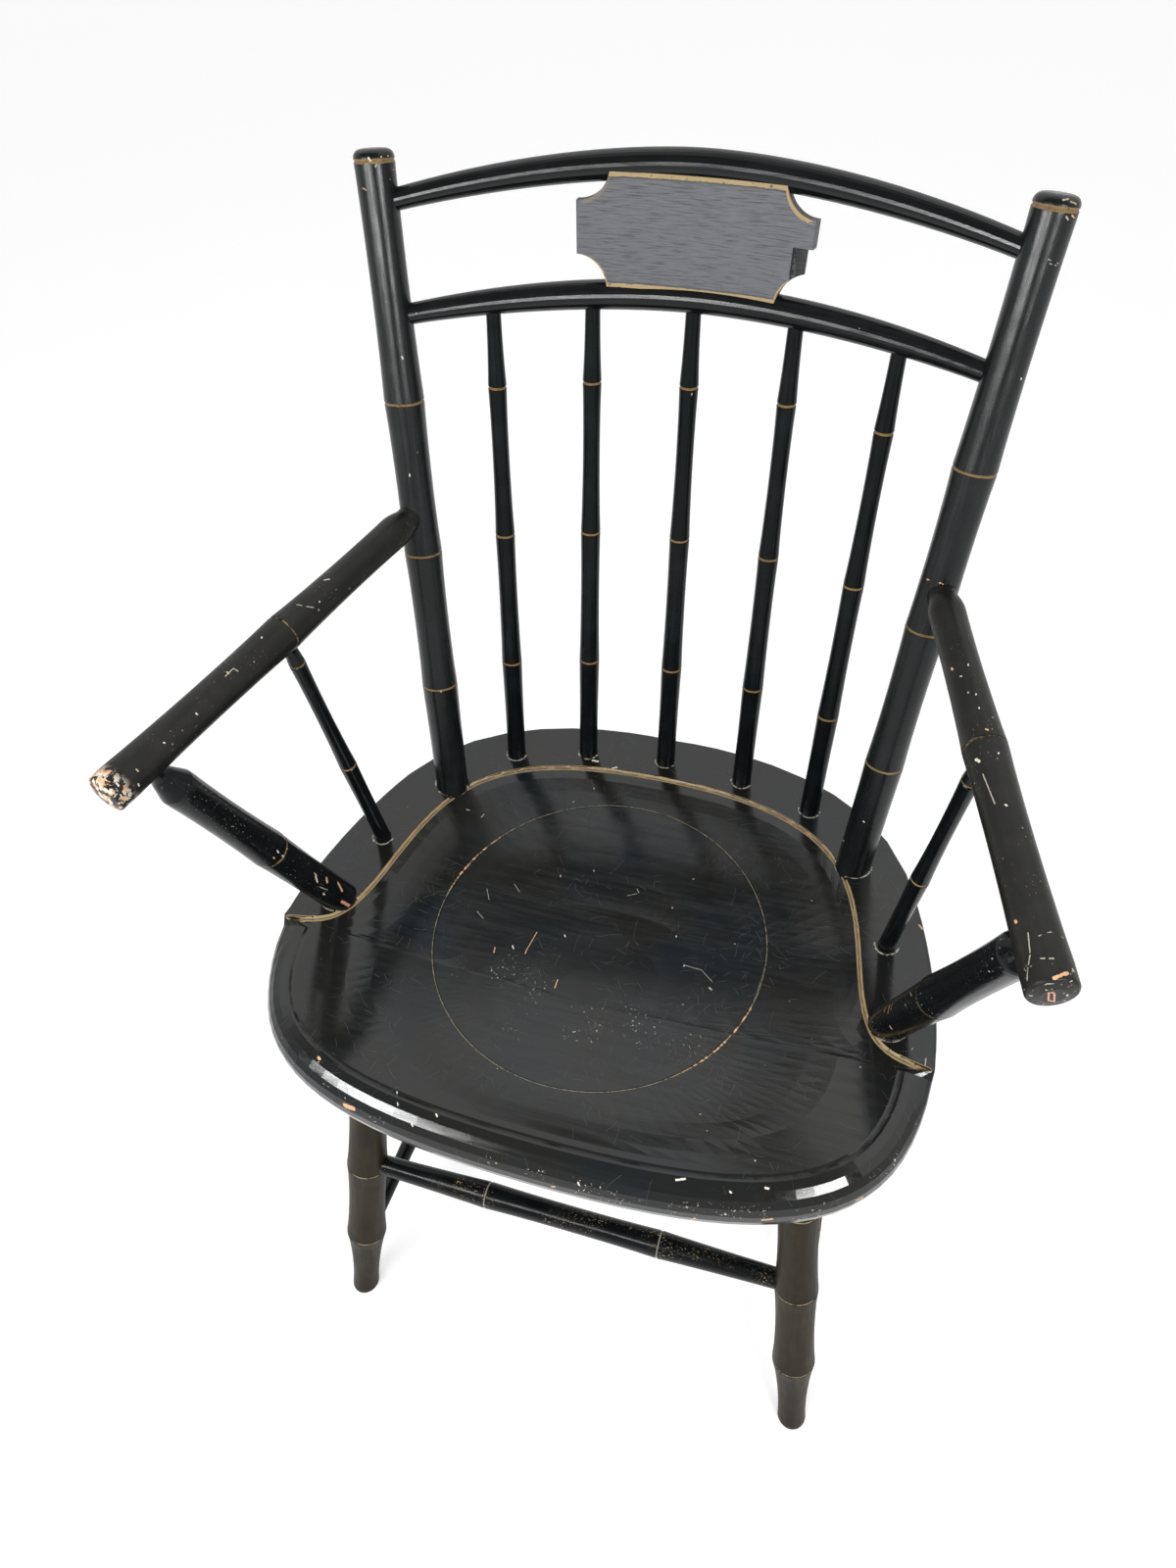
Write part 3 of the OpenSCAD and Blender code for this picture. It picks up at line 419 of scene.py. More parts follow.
def scratches(s, place, per_metre, length, width, share, seed):
    """Bowed hairlines at random angles, at most one to a cell; 1 inside."""
    moved = s.vector("ADD", place, (seed, -seed * 1.3, 0.0))
    _, pick, centre = s.cells(moved, per_metre)
    cell = (per_metre,) * 3
    off = s.vector("SUBTRACT", s.vector("MULTIPLY", moved, cell),
                   s.vector("MULTIPLY", centre, cell))
    x, y, _ = s.parts(off)
    turn = s.times(pick, PICK_TO_ANGLE)
    c = s.math("COSINE", turn)
    n = s.math("SINE", turn)
    across = s.minus(s.times(x, c), s.times(y, n))
    along = s.plus(s.times(x, n), s.times(y, c))
    bow = s.times(along, along, SCRATCH_BOW)
    inside = s.below(s.math("ABSOLUTE", s.plus(across, bow)), width * per_metre)
    reach = s.below(s.math("ABSOLUTE", along), length * per_metre)
    few = s.below(s.math("FRACT", s.times(pick, PICK_TO_SHARE)), share)
    return s.times(inside, reach, few)


def mark_mask(s, place, ragged, start, end, width):
    """A flake, or a scratch between two points, with a ragged edge; 1 inside."""
    v = s.vector("SUBTRACT", place, tuple((start + end) / 2))
    span = end - start
    if span.length > MARK_LEAST_LENGTH:
        d = tuple(span.normalized())
        half = span.length / 2
        along = s.vector("DOT_PRODUCT", v, d)
        held = s.math("MINIMUM", s.most(along, -half), half)
        v = s.vector("SUBTRACT", v, s.scaled(d, held))
    edge = s.times(ragged, width * MARK_RAGGED_SHARE)
    return s.below(s.plus(s.vector("LENGTH", v), edge), width / 2)


def paint_marks(s, place, name, colour):
    """Lays a part's own marks over its colour. Gives the new colour and a mask for each mark."""
    masks = {}
    ragged = s.shake(place, MARK_RAGGED_SCALE, 1.0, 2.0, 0.6)
    share = DISC_MARK_SHARE if name == "seat_disc" else 1.0
    for first, last, width, tint in MARKS.get(name, ()):
        start, end = seen_at(name, first), seen_at(name, last)
        hit = mark_mask(s, place, ragged, start, end, width * MARK_WIDTH * share)
        masks.setdefault(tint, []).append(hit)
    for tint, hits in masks.items():
        colour = s.mix(s.most(*hits), colour, tint)
    return colour, [hit for hits in masks.values() for hit in hits]


# Sticks: their axes and grooves are found on their meshes. An axis joins the middles of the ends,
# where an end is the last AXIS_CAP metres. A groove is a ring of points that lies DIP_DEPTH or
# more below the outline between DIP_NEAR and DIP_FAR metres from it on both sides
UPRIGHT = (0, 0, 1)
AXIS_CAP = 0.004
AXIS_ROUNDS = 3
RINGS_PER_METRE = 5000
RING_POINTS = 16
DIP_NEAR = 0.0006
DIP_FAR = 0.0016
DIP_DEPTH = 0.0004


def stick_axis(name, way=UPRIGHT):
    """Both ends of a stick's axis and its unit direction, which runs the given way."""
    co = np.array([v.co for v in nodes[name].data.vertices])
    mid = (co.min(0) + co.max(0)) / 2
    d = np.linalg.svd(co - co.mean(0), full_matrices=False)[2][0]
    for _ in range(AXIS_ROUNDS):
        t = (co - mid) @ d
        lo = co[t < t.min() + AXIS_CAP]
        hi = co[t > t.max() - AXIS_CAP]
        a = (lo.min(0) + lo.max(0)) / 2
        b = (hi.min(0) + hi.max(0)) / 2
        mid, d = (a + b) / 2, (b - a) / np.linalg.norm(b - a)
    if np.dot(way, d) < 0:
        a, b, d = b, a, -d
    return Vector(a), Vector(b), Vector(d)


def grooves(name, a, d):
    """Distances from a along d of the turned grooves, which are short dips in the outline."""
    co = np.array([v.co for v in nodes[name].data.vertices])
    rel = co - np.array(a)
    t = rel @ np.array(d)
    rad = np.linalg.norm(rel - np.outer(t, np.array(d)), axis=1)
    keys = np.round(t * RINGS_PER_METRE).astype(int)
    rings = []
    for k in np.unique(keys):
        pick = keys == k
        if pick.sum() >= RING_POINTS:
            rings.append((t[pick].mean(), np.median(rad[pick])))
    found = []
    for station, radius in rings[1:-1]:
        left = [r for s, r in rings if DIP_NEAR < station - s < DIP_FAR]
        right = [r for s, r in rings if DIP_NEAR < s - station < DIP_FAR]
        if left and right and min(max(left), max(right)) - radius > DIP_DEPTH:
            found.append(station)
    return found


def along_stick(s, a, d):
    """The place in the stick's own frame: Z runs up the stick from a."""
    turn = d.to_track_quat("Z", "Y").inverted()
    return s.mapped(s.place(), tuple(-(turn @ a)), tuple(turn.to_euler()))


def ring_line(s, z, station, half_width, wander):
    """A painted line round the stick at one height."""
    off = s.math("ABSOLUTE", s.plus(s.minus(z, station), wander))
    return s.fall(off, half_width * 0.75, half_width)


# Gloss paint of sticks and rails: scales of its noises in features per metre, and the values of
# them between which what they stand for comes in
STREAK_SCALE = 520
GRAIN_SCALE = 1700
SPECK_SCALE = 130
PATCH_SCALE = 22
DUST_SCALE = 900
WANDER_SCALE = 130
STREAK_SPAN = (0.3, 0.75)
BLOTCH_SPAN = (0.42, 0.72)
PATCH_SPAN = (0.45, 0.6)
DUST_START = 0.74
DUST_FULL = 0.77
FLECK_SIZE = 0.7 * MM
RAIL_FLECK_SIZE = 0.9 * MM
SEED_STEP = 0.013
LINE_WANDER = 0.7 * MM
END_WEAR_START = 0.013
END_WEAR_FULL = 0.004
STICK_RELIEF = 0.07
RAIL_RELIEF = 0.04


def bare_end(s, place, z, length, share):
    """Bare wood at the far end of a stick: its mask and its colour."""
    near_end = s.ramp(z, length - END_WEAR_START, length - END_WEAR_FULL)
    broken = s.ramp(s.noise(place, 210, 4.0, 0.7), 1 - share, 1.03 - share)
    tint = s.mix(s.ramp(s.noise(place, 340, 3.0, 0.6), 0.42, 0.56), TAN, WHITE)
    return s.times(near_end, broken), tint


def turned_paint(name, way=UPRIGHT, line=OCHRE, widths=(), base=BLACK, rough=0.2, grit=1.0,
                 worn=0.38, flecks=0.05, fleck_colour=PALE, shine=0.2, end_wear=0.0, speckle=0.0):
    """Gloss paint of one turned stick: brush marks along it and painted lines in its grooves.

    widths are the half widths of its lines in millimetres, in order the way its axis runs. The
    more worn, the more of them is lost. flecks and speckle set how many flecks and how much fine
    dust there is, and end_wear how much bare wood at the far end.
    """
    a, b, d = stick_axis(name, way)
    s = Paint("paint_" + name)
    v = along_stick(s, a, d)
    z = s.parts(v)[2]
    seed = (len(name) * 7 + ord(name[-1])) * SEED_STEP
    place = s.vector("ADD", v, (seed, -seed, seed * 2))
    streak = s.noise(s.mapped(place, scale=(1, 1, 0.05)), STREAK_SCALE, 4.0, 0.65)
    brush = s.noise(s.mapped(place, scale=(1, 1, 0.02)), 170, 3.0, 0.5)
    grain = s.noise(s.mapped(place, scale=(1, 1, 0.5)), GRAIN_SCALE, 2.0, 0.6)
    blotch = s.noise(place, 45, 3.0, 0.6)
    colour = s.mix(s.ramp(blotch, *BLOTCH_SPAN), base, shaded(base, 1.8))
    masks = []
    wander = s.shake(place, WANDER_SCALE, LINE_WANDER)
    kept = s.ramp(s.noise(place, 260, 3.0, 0.7), worn - 0.12, worn + 0.06)
    lines = [s.times(ring_line(s, z, station, half * MM, wander), kept)
             for station, half in zip(grooves(name, a, d), widths)]
    if lines:
        drawn = s.most(*lines)
        colour = s.mix(drawn, colour, s.mix(s.noise(place, 420, 3.0), line, shaded(line, 0.4)))
        masks.append(drawn)
    spots = specks(s, place, SPECK_SCALE, FLECK_SIZE, flecks, seed)
    if speckle:
        dust = s.noise(s.mapped(place, scale=(1, 1, 0.5)), DUST_SCALE, 3.0, 0.7)
        spots = s.most(spots, s.ramp(dust, DUST_START - speckle, DUST_FULL - speckle))
    spots = s.times(spots, s.ramp(s.noise(place, PATCH_SCALE, 2.0), *PATCH_SPAN))
    colour = s.mix(spots, colour, fleck_colour)
    masks.append(spots)
    if end_wear:
        bare, wood = bare_end(s, place, z, (b - a).length, end_wear)
        colour = s.mix(bare, colour, wood)
        masks.append(bare)
    colour, marked = paint_marks(s, s.place(), name, colour)
    lost = s.most(*masks, *marked)
    roughness = s.ramp(streak, *STREAK_SPAN, rough - 0.07, rough + 0.12)
    roughness = s.plus(roughness, s.times(lost, 0.3), clamp=True)
    height = s.plus(s.times(streak, 0.55), s.times(brush, 0.5))
    height = s.plus(height, s.times(grain, 0.4 * grit))
    height = s.minus(height, s.times(lost, 0.8))
    return s.finish(colour, roughness, height, STICK_RELIEF, level=shine)


def rail_paint(name):
    """Gloss black of a bent rail, streaked along its length."""
    s = Paint("paint_" + name)
    place = s.place()
    streak = s.noise(s.mapped(place, scale=(0.05, 1, 1)), STREAK_SCALE, 4.0, 0.65)
    brush = s.noise(s.mapped(place, scale=(0.03, 1, 1)), 130, 3.0, 0.5)
    grain = s.noise(place, GRAIN_SCALE, 2.0, 0.6)
    blotch = s.noise(place, 40, 3.0, 0.6)
    colour = s.mix(s.ramp(blotch, *BLOTCH_SPAN), BLACK, BLACK_SOFT)
    spots = s.times(specks(s, place, SPECK_SCALE, RAIL_FLECK_SIZE, 0.08, 0.37),
                    s.ramp(s.noise(place, PATCH_SCALE), *PATCH_SPAN))
    colour = s.mix(spots, colour, PALE)
    roughness = s.ramp(streak, *STREAK_SPAN, 0.12, 0.25)
    height = s.plus(s.times(streak, 0.4), s.times(brush, 0.5))
    height = s.plus(height, s.times(grain, 0.22))
    return s.finish(colour, roughness, height, RAIL_RELIEF, level=0.32)


# Legs, in metres. The painted shade in a groove lies above the pale line and is wider, and painted
# shade darkens each leg towards the seat
LEG_WANDER = 0.6 * MM
LEG_LINE_HALF = 0.8 * MM
LEG_SHADE_HALF = 1.5 * MM
LEG_SHADE_RISE = 0.0016
LEG_SEAT_SHADE = (0.2, 0.36)  # heights between which the leg darkens towards the seat
LEG_SOILED = (0.012, 0.0)  # heights between which the foot gets soiled
LEG_RELIEF = 0.08


def leg_paint(name):
    """Worn brown paint of a leg, with a thin pale line in each groove, painted shade just above
    it, and painted shade towards the seat.
    """
    a, _, d = stick_axis(name)
    stations = grooves(name, a, d)
    s = Paint("paint_" + name)
    v = along_stick(s, a, d)
    z = s.parts(v)[2]
    place = s.vector("ADD", v, (len(name) * 0.1, ord(name[-2]) * 0.03, 0.0))
    streak = s.noise(s.mapped(place, scale=(1, 1, 0.05)), 320, 4.0, 0.6)
    blotch = s.noise(s.mapped(place, scale=(1, 1, 0.4)), 60, 4.0, 0.65)
    colour = s.mix(s.ramp(blotch, 0.35, 0.7), LEG_BROWN, LEG_DARK)
    colour = s.mix(s.ramp(streak, 0.5, 0.8, 0.0, 0.45), colour, LEG_STREAK)
    colour = s.mix(s.ramp(s.noise(place, 90, 2.0), 0.58, 0.72, 0.0, 0.5), colour, LEG_RED)
    # Painted shade: the leg darkens towards the seat above it
    colour = s.mix(s.ramp(z, *LEG_SEAT_SHADE, 0.0, 0.6), colour, LEG_DARK)
    wander = s.shake(place, WANDER_SCALE, LEG_WANDER)
    kept = s.ramp(s.noise(place, 200, 3.0, 0.7), 0.34, 0.54)
    lines = s.most(*[ring_line(s, z, p, LEG_LINE_HALF, wander) for p in stations])
    # Painted shade: a wider dark band just above the pale line in each groove
    painted_shades = s.most(*[ring_line(s, z, p + LEG_SHADE_RISE, LEG_SHADE_HALF, wander)
                      for p in stations])
    colour = s.mix(s.times(painted_shades, 0.75), colour, LEG_PAINTED_SHADE)
    colour = s.mix(s.times(lines, kept), colour, LEG_LINE)
    colour = s.mix(s.ramp(z, *LEG_SOILED, 0.0, 0.7), colour, LEG_FOOT)
    roughness = s.ramp(streak, 0.3, 0.8, 0.42, 0.58)
    height = s.plus(s.times(streak, 0.7), s.times(s.noise(place, 900, 2.0), 0.6))
    return s.finish(colour, roughness, height, LEG_RELIEF, level=0.12)


# Sticks that stand on the seat, with the radius of the worn rim at each foot in millimetres
FOOTED = {"stile_left": 13.6, "stile_right": 13.6, "arm_post_left": 13.4, "arm_post_right": 13.4,
          "arm_spindle_left": 8.4, "arm_spindle_right": 8.4, "spindle_1": 8.3, "spindle_2": 8.3,
          "spindle_3": 8.3, "spindle_4": 8.3, "spindle_5": 8.3}
RIM_HALF = 0.65 * MM

# Heights and depths on the seat between which something comes in, in metres
TOP_HEIGHTS = (0.385, 0.39)  # the upper side
ROLL_HEIGHTS = (0.404, 0.4)  # chips on the roll
ROLL_DEPTHS = (-0.06, -0.1)
LIP_HEIGHTS = (0.396, 0.386)  # wear on the roll's lower lip

# Joint line round the disc: it lies inside the disc's edge, between two widths, and is wider by
# up to JOINT_CHIP where its paint broke away at the left and at the right front. Those two places
# are given from the disc's centre, across and back
JOINT_INSET = 0.0001
JOINT_WIDTHS = (0.00012, 0.00036)
JOINT_CHIP = 0.0006
CHIPPED_LEFT = ((-0.085, -0.11), (0.0, 0.03))
CHIPPED_RIGHT = ((0.075, 0.1), (-0.01, -0.04))

# Fine scratches: cells per metre, half length, half width, share of the cells and seed
PATCHED_SCRATCHES = (75, 5 * MM, 0.11 * MM, 0.7, 0.31)
SHORT_SCRATCHES = (110, 3.5 * MM, 0.1 * MM, 0.6, 1.77)
LONG_SCRATCHES = (40, 8 * MM, 0.08 * MM, 0.18, 2.9)
SCRATCH_PATCH_SPAN = (0.5, 0.62)
# Flecks: cells per metre, size, share of the cells and seed
FINE_FLECKS = (150, 0.55 * MM, 0.08, 0.7)
BIG_FLECKS = (50, 0.7 * MM, 0.06, 2.3)
SEAT_RELIEF = 0.1


def foot_rims(s, place):
    """Worn rims on the seat at the front of each stick's foot; 1 inside."""
    x, y, _ = s.parts(place)
    flat = s.joined(x, y, 0.0)
    broken = s.ramp(s.noise(place, 330, 3.0, 0.7), 0.42, 0.56)
    rims = []
    for name, radius in FOOTED.items():
        a, _, d = stick_axis(name)
        foot = a + d * ((SEAT_TOP - a.z) / d.z)
        gone = s.vector("SUBTRACT", flat, (foot.x, foot.y, 0.0))
        far = s.math("ABSOLUTE", s.minus(s.vector("LENGTH", gone), radius * MM))
        in_front = s.below(s.parts(gone)[1], 0.0)
        rims.append(s.times(s.below(far, RIM_HALF), in_front))
    return s.times(s.most(*rims), broken)


def disc_joint(s, place, flat, on_top):
    """The pale joint line round the disc: its mask and its colour."""
    spoke = s.vector("SUBTRACT", flat, DISC_CENTRE)
    across, back, _ = s.parts(spoke)
    off = s.math("ABSOLUTE", s.minus(s.vector("LENGTH", spoke), DISC_RADIUS - JOINT_INSET))
    ragged = s.noise(place, 260, 4.0, 0.75)
    chipped = s.most(*[s.times(s.ramp(across, *sideways), s.ramp(back, *backwards))
                       for sideways, backwards in (CHIPPED_LEFT, CHIPPED_RIGHT)])
    width = s.plus(s.ramp(ragged, 0.35, 0.7, *JOINT_WIDTHS),
                   s.times(chipped, s.ramp(ragged, 0.4, 0.65, 0.0, JOINT_CHIP)))
    kept = s.ramp(s.noise(place, 300, 3.0, 0.7), 0.36, 0.5, 0.15, 1.0)
    tint = s.mix(s.times(chipped, s.ramp(ragged, 0.45, 0.55)), JOINT_PALE, TAN)
    return s.times(s.below(off, width), on_top, kept), tint


def seat_scratches(s, place, flat):
    """Fine scratches: two kinds in patches, and a few long ones all over."""
    patch = s.ramp(s.noise(place, 13, 2.0, 0.5), *SCRATCH_PATCH_SPAN)
    elsewhere = s.vector("ADD", place, (3, 1, 2))
    other_patch = s.ramp(s.noise(elsewhere, 17, 2.0, 0.5), *SCRATCH_PATCH_SPAN)
    return s.most(s.times(scratches(s, flat, *PATCHED_SCRATCHES), patch),
                  s.times(scratches(s, flat, *SHORT_SCRATCHES), other_patch),
                  scratches(s, flat, *LONG_SCRATCHES))


def roll_chips(s, place, y, z):
    """Clusters of small chips along the front roll; 1 inside."""
    on_roll = s.times(s.ramp(z, *ROLL_HEIGHTS), s.ramp(y, *ROLL_DEPTHS))
    cluster = s.times(s.ramp(s.noise(place, 32, 3.0, 0.6), 0.49, 0.6), on_roll)
    return s.times(s.ramp(s.noise(place, 420, 4.0, 0.7), 0.625, 0.645), cluster)


def seat_paint(name):
    """Gloss black of the seat or its disc: brush marks, scratches, flecks and the joint line."""
    s = Paint("paint_" + name)
    place = s.place()
    x, y, z = s.parts(place)
    flat = s.joined(x, y, 0.0)
    on_top = s.ramp(z, *TOP_HEIGHTS)
    blotch = s.noise(place, 14, 4.0, 0.6)
    brush = s.noise(s.mapped(place, rotation=(0, 0, 0.12), scale=(0.05, 1, 1)), 300, 4.0, 0.6)
    grain = s.noise(place, 1300, 2.0, 0.5)
    swell = s.noise(place, 20, 2.0, 0.5)
    colour = s.mix(s.ramp(blotch, 0.4, 0.75), SEAT_BLACK, SEAT_BLUE)
    scratch = s.times(seat_scratches(s, place, flat), on_top)
    colour = s.mix(s.times(scratch, 0.4), colour, SCRATCH_GREY)
    fine = specks(s, place, *FINE_FLECKS)
    big = s.most(specks(s, place, *BIG_FLECKS), roll_chips(s, place, y, z))
    colour = s.mix(fine, colour, PALE)
    colour = s.mix(big, colour, WHITE)
    joint, joint_colour = disc_joint(s, place, flat, on_top)
    colour = s.mix(joint, colour, joint_colour)
    lip = s.times(s.ramp(z, *LIP_HEIGHTS), s.ramp(s.noise(place, 55, 4.0, 0.7), 0.55, 0.62))
    colour = s.mix(s.times(lip, 0.6), colour, BARE_WOOD)
    masks = [fine, big, joint]
    if name == "seat":
        rims = s.times(foot_rims(s, place), on_top)
        colour = s.mix(rims, colour, PALE)
        masks.append(rims)
    colour, marked = paint_marks(s, place, name, colour)
    lost = s.most(*masks, *marked)
    roughness = s.ramp(brush, *STREAK_SPAN, 0.08, 0.16)
    roughness = s.plus(roughness, s.times(lost, 0.35), clamp=True)
    roughness = s.plus(roughness, s.times(scratch, 0.2), clamp=True)
    height = s.plus(s.times(brush, 0.2), s.times(grain, 0.12))
    height = s.plus(height, swell)
    height = s.minus(height, s.times(lost, 0.8))
    return s.finish(colour, roughness, height, SEAT_RELIEF, level=0.42)


# The tablet in its own plane, in metres: half width at the ears and along its upper and lower
# edges, and half height of an ear. Its tilt is in degrees, clockwise in a front view
TABLET_HALF = 0.072
TABLET_EDGE_HALF = 0.0525
TABLET_EAR_HALF = 0.01375
TABLET_TILT = 0.8
FRONT_NORMAL = -0.9
# Its lines: distances from an edge between which a line ends, and for the coves shares of a
# cove's own size
EDGE_LINE = (0.0021, 0.0025)
EDGE_SHADE = (0.0028, 0.0036)
SIDE_LINE = (0.0013, 0.0017)
COVE_LINE = (1.045, 1.07)
COVE_WOBBLE = 40.0
TABLET_WOBBLE = 0.0012
UPPER_LEFT_LOSS = 0.8
# Depths behind its front between which the grey face ends, the black edge starts, and the dark
# break where the right ear split away starts and ends
FACE_END = (0.0006, 0.0011)
EDGE_START = (0.0011, 0.0016)
BREAK_START = (0.0025, 0.003)
BREAK_END = (0.0052, 0.0055)
BREAK_X = 0.05
TABLET_RELIEF = 0.14


def tablet_front():
    """Where the tablet's front is, once it is turned upright.

    Gives its middle, its half height, and the cone about an upright axis that the front lies on,
    as the numbers c, a and b of x^2 + (y - c)^2 = (a + b z)^2.
    """
    mesh = nodes["tablet"].data
    low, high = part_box("tablet")
    pivot = Vector((0, 0, (low[2] + high[2]) / 2))
    untilt = Matrix.Rotation(-math.radians(TABLET_TILT), 3, "Y")
    front = {v for p in mesh.polygons if p.normal.y < FRONT_NORMAL for v in p.vertices}
    co = np.array([untilt @ (v.co - pivot) for v in mesh.vertices])
    half_tall = (co[:, 2].max() - co[:, 2].min()) / 2
    edge = co[sorted(front)]
    known = np.stack([edge[:, 1], np.ones(len(edge)), edge[:, 2], edge[:, 2] ** 2], axis=1)
    fit = np.linalg.lstsq(known, (edge[:, :2] ** 2).sum(1), rcond=None)[0]
    c = float(fit[0]) / 2
    a = math.sqrt(float(fit[1]) + c * c)
    b = float(fit[2]) / 2 / a
    return untilt @ pivot, half_tall, c, a, b


def tablet_lines(s, place, x, y, half_tall):
    """Thick lines along the straight edges, thin ones in the coves and down the left ear.

    Gives the mask of the lines and that of the darker band along the straight edges.
    """
    wobble = s.shake(place, 230, TABLET_WOBBLE, 3.0, 0.7)
    edges = s.math("MINIMUM", s.plus(s.minus(half_tall, y), wobble),
                   s.plus(s.plus(half_tall, y), wobble))
    thick = s.fall(edges, *EDGE_LINE)
    # A cove is a quarter oval about an outer corner
    across = s.math("DIVIDE", s.minus(TABLET_HALF, s.math("ABSOLUTE", x)),
                    TABLET_HALF - TABLET_EDGE_HALF)
    up = s.math("DIVIDE", s.minus(half_tall, s.math("ABSOLUTE", y)), half_tall - TABLET_EAR_HALF)
    cove = s.plus(s.vector("LENGTH", s.joined(across, up, 0.0)), s.times(wobble, COVE_WOBBLE))
    thin = s.fall(cove, *COVE_LINE)
    upper_left = s.times(s.below(x, 0.0), s.math("GREATER_THAN", y, 0.0))
    thin = s.times(thin, s.minus(1.0, s.times(upper_left, UPPER_LEFT_LOSS)))
    ear = s.fall(s.plus(s.plus(x, TABLET_HALF), wobble), *SIDE_LINE)
    kept = s.ramp(s.noise(place, 240, 3.0, 0.7), 0.3, 0.4)
    return s.times(s.most(thick, thin, ear), kept), s.fall(edges, *EDGE_SHADE)


def tablet_paint():
    """Rubbed grey of the tablet, streaked across, with ochre lines and black edges."""
    middle, half_tall, c, a, b = tablet_front()
    s = Paint("paint_tablet")
    place = s.place()
    upright = s.mapped(place, tuple(-middle), (0, -math.radians(TABLET_TILT), 0))
    x, back, y = s.parts(upright)
    reach = s.vector("LENGTH", s.joined(x, s.minus(back, c), 0.0))
    depth = s.minus(reach, s.plus(s.times(y, b), a))
    on_face = s.fall(depth, *FACE_END)
    flat = s.joined(x, y, 0.0)
    streak = s.noise(s.mapped(flat, scale=(0.05, 1, 1)), 1300, 3.0, 0.6, 0.2)
    fine = s.noise(s.mapped(flat, location=(0.4, 0.2, 0), scale=(0.04, 1, 1)), 2400, 2.0, 0.6)
    blotch = s.noise(flat, 50, 3.0, 0.6)
    colour = s.mix(s.ramp(streak, 0.46, 0.7), TABLET_GREY, TABLET_DARK)
    colour = s.mix(s.ramp(fine, 0.55, 0.75, 0.0, 0.5), colour, TABLET_DARK)
    colour = s.mix(s.ramp(blotch, 0.5, 0.7, 0.0, 0.5), colour, TABLET_PALE)
    lines, band = tablet_lines(s, place, x, y, half_tall)
    lines = s.times(lines, on_face)
    colour = s.mix(s.times(band, on_face), colour, TABLET_DARK)
    colour = s.mix(lines, colour, s.mix(s.noise(place, 500, 3.0), OCHRE_PALE, OCHRE))
    colour = s.mix(s.ramp(depth, *EDGE_START), colour, BLACK)
    broken = s.times(s.ramp(depth, *BREAK_START), s.fall(depth, *BREAK_END),
                     s.math("GREATER_THAN", x, BREAK_X))
    crumbled = s.mix(s.ramp(s.noise(place, 900, 2.0), 0.4, 0.6), BREAK_DARK, BREAK_PALE)
    colour = s.mix(broken, colour, crumbled)
    roughness = s.ramp(streak, *STREAK_SPAN, 0.42, 0.58)
    height = s.minus(s.times(s.noise(place, 1100, 2.0), 0.3), streak)
    height = s.plus(height, s.times(lines, 0.5))
    return s.finish(colour, roughness, height, TABLET_RELIEF, level=0.4)


# The painted line in the groove, in metres: its half width at the back and at its front ends, its
# thickness on the wood and its depth in it. It widens over the last LINE_SWELL of its length,
# LINE_SWELL_GAIN times as fast as an even growth, and close to a tip it narrows to LINE_TIP_SHARE
LINE_HALF = 1.75 * MM
LINE_HALF_END = 2.1 * MM
LINE_COAT = 0.12 * MM
LINE_ROOT = 0.8 * MM
LINE_SWELL = 0.075
LINE_SWELL_GAIN = 1.5
LINE_TIP = 0.004
LINE_TIP_SHARE = 0.35
LINE_SHARES = (-1.0, -0.66, -0.33, 0.0, 0.33, 0.66, 1.0)
LINE_EDGE_SHARE = 0.9  # beyond this share of the half width the coat thins
LINE_EDGE_COAT = 0.2
CURVE_STEPS = 48
RAY_ABOVE = 0.02
GROOVE_RELIEF = 0.1


def groove_paint():
    """Two ochre lines with a dark one between them, rubbed and uneven."""
    s = Paint("paint_groove_line")
    across, along, _ = s.parts(s.place("UV"))
    place = s.joined(s.times(across, 0.004), along, 0.0)
    centre = s.math("ABSOLUTE", s.plus(across, s.shake(place, 180, 0.35, 3.0, 0.6)))
    shade = s.noise(s.mapped(place, scale=(1, 0.12, 1)), 700, 3.0, 0.6)
    colour = s.mix(s.ramp(shade, 0.35, 0.65), OCHRE_PALE, OCHRE)
    colour = s.mix(s.ramp(s.noise(place, 320, 3.0, 0.7), 0.55, 0.72, 0.0, 0.7), colour, OCHRE_DARK)
    strength = s.ramp(s.noise(place, 90, 2.0), 0.35, 0.55, 0.35, 0.9)
    core = s.times(s.fall(centre, 0.16, 0.3), strength)
    colour = s.mix(core, colour, GROOVE_CORE)
    colour = s.mix(s.ramp(centre, 0.82, 0.93), colour, SEAT_BLACK)
    return s.finish(colour, s.ramp(shade, 0.3, 0.7, 0.38, 0.55), shade, GROOVE_RELIEF, level=0.4)


def groove_curve():
    """Plan points of the scribed groove, from one front end round the back to the other.

    Half of it is two Bezier curves, the rear one and the tail, that meet at the side. The shares
    place their points on the plan of the seat.
    """
    def bezier(p):
        a, b, c, d = (np.array(q) for q in p)
        steps = [i / CURVE_STEPS for i in range(CURVE_STEPS)]
        return [a * (1 - t) ** 3 + 3 * b * (1 - t) ** 2 * t + 3 * c * (1 - t) * t * t + d * t ** 3
                for t in steps]

    back = WIDE_Y + REACH_BACK - GROOVE_BACK
    side = np.array([HALF_WIDTH - GROOVE_SIDE, WIDE_Y + 0.248 * REACH_BACK])
    end = (0.992 * HALF_WIDTH, WIDE_Y - 0.008 * REACH_BACK)
    rear = [(0, back), (0.657 * HALF_WIDTH, back), side + np.array([-0.06, 0.302]) * REACH_BACK,
            side]
    tail = [side, side + np.array([0.044, -0.218]) * REACH_BACK,
            (0.85 * HALF_WIDTH, WIDE_Y + 0.012 * REACH_BACK), end]
    right = np.array(bezier(rear) + bezier(tail) + [np.array(end)])
    left = right[:0:-1] * np.array([-1, 1])
    return np.concatenate([left, right])


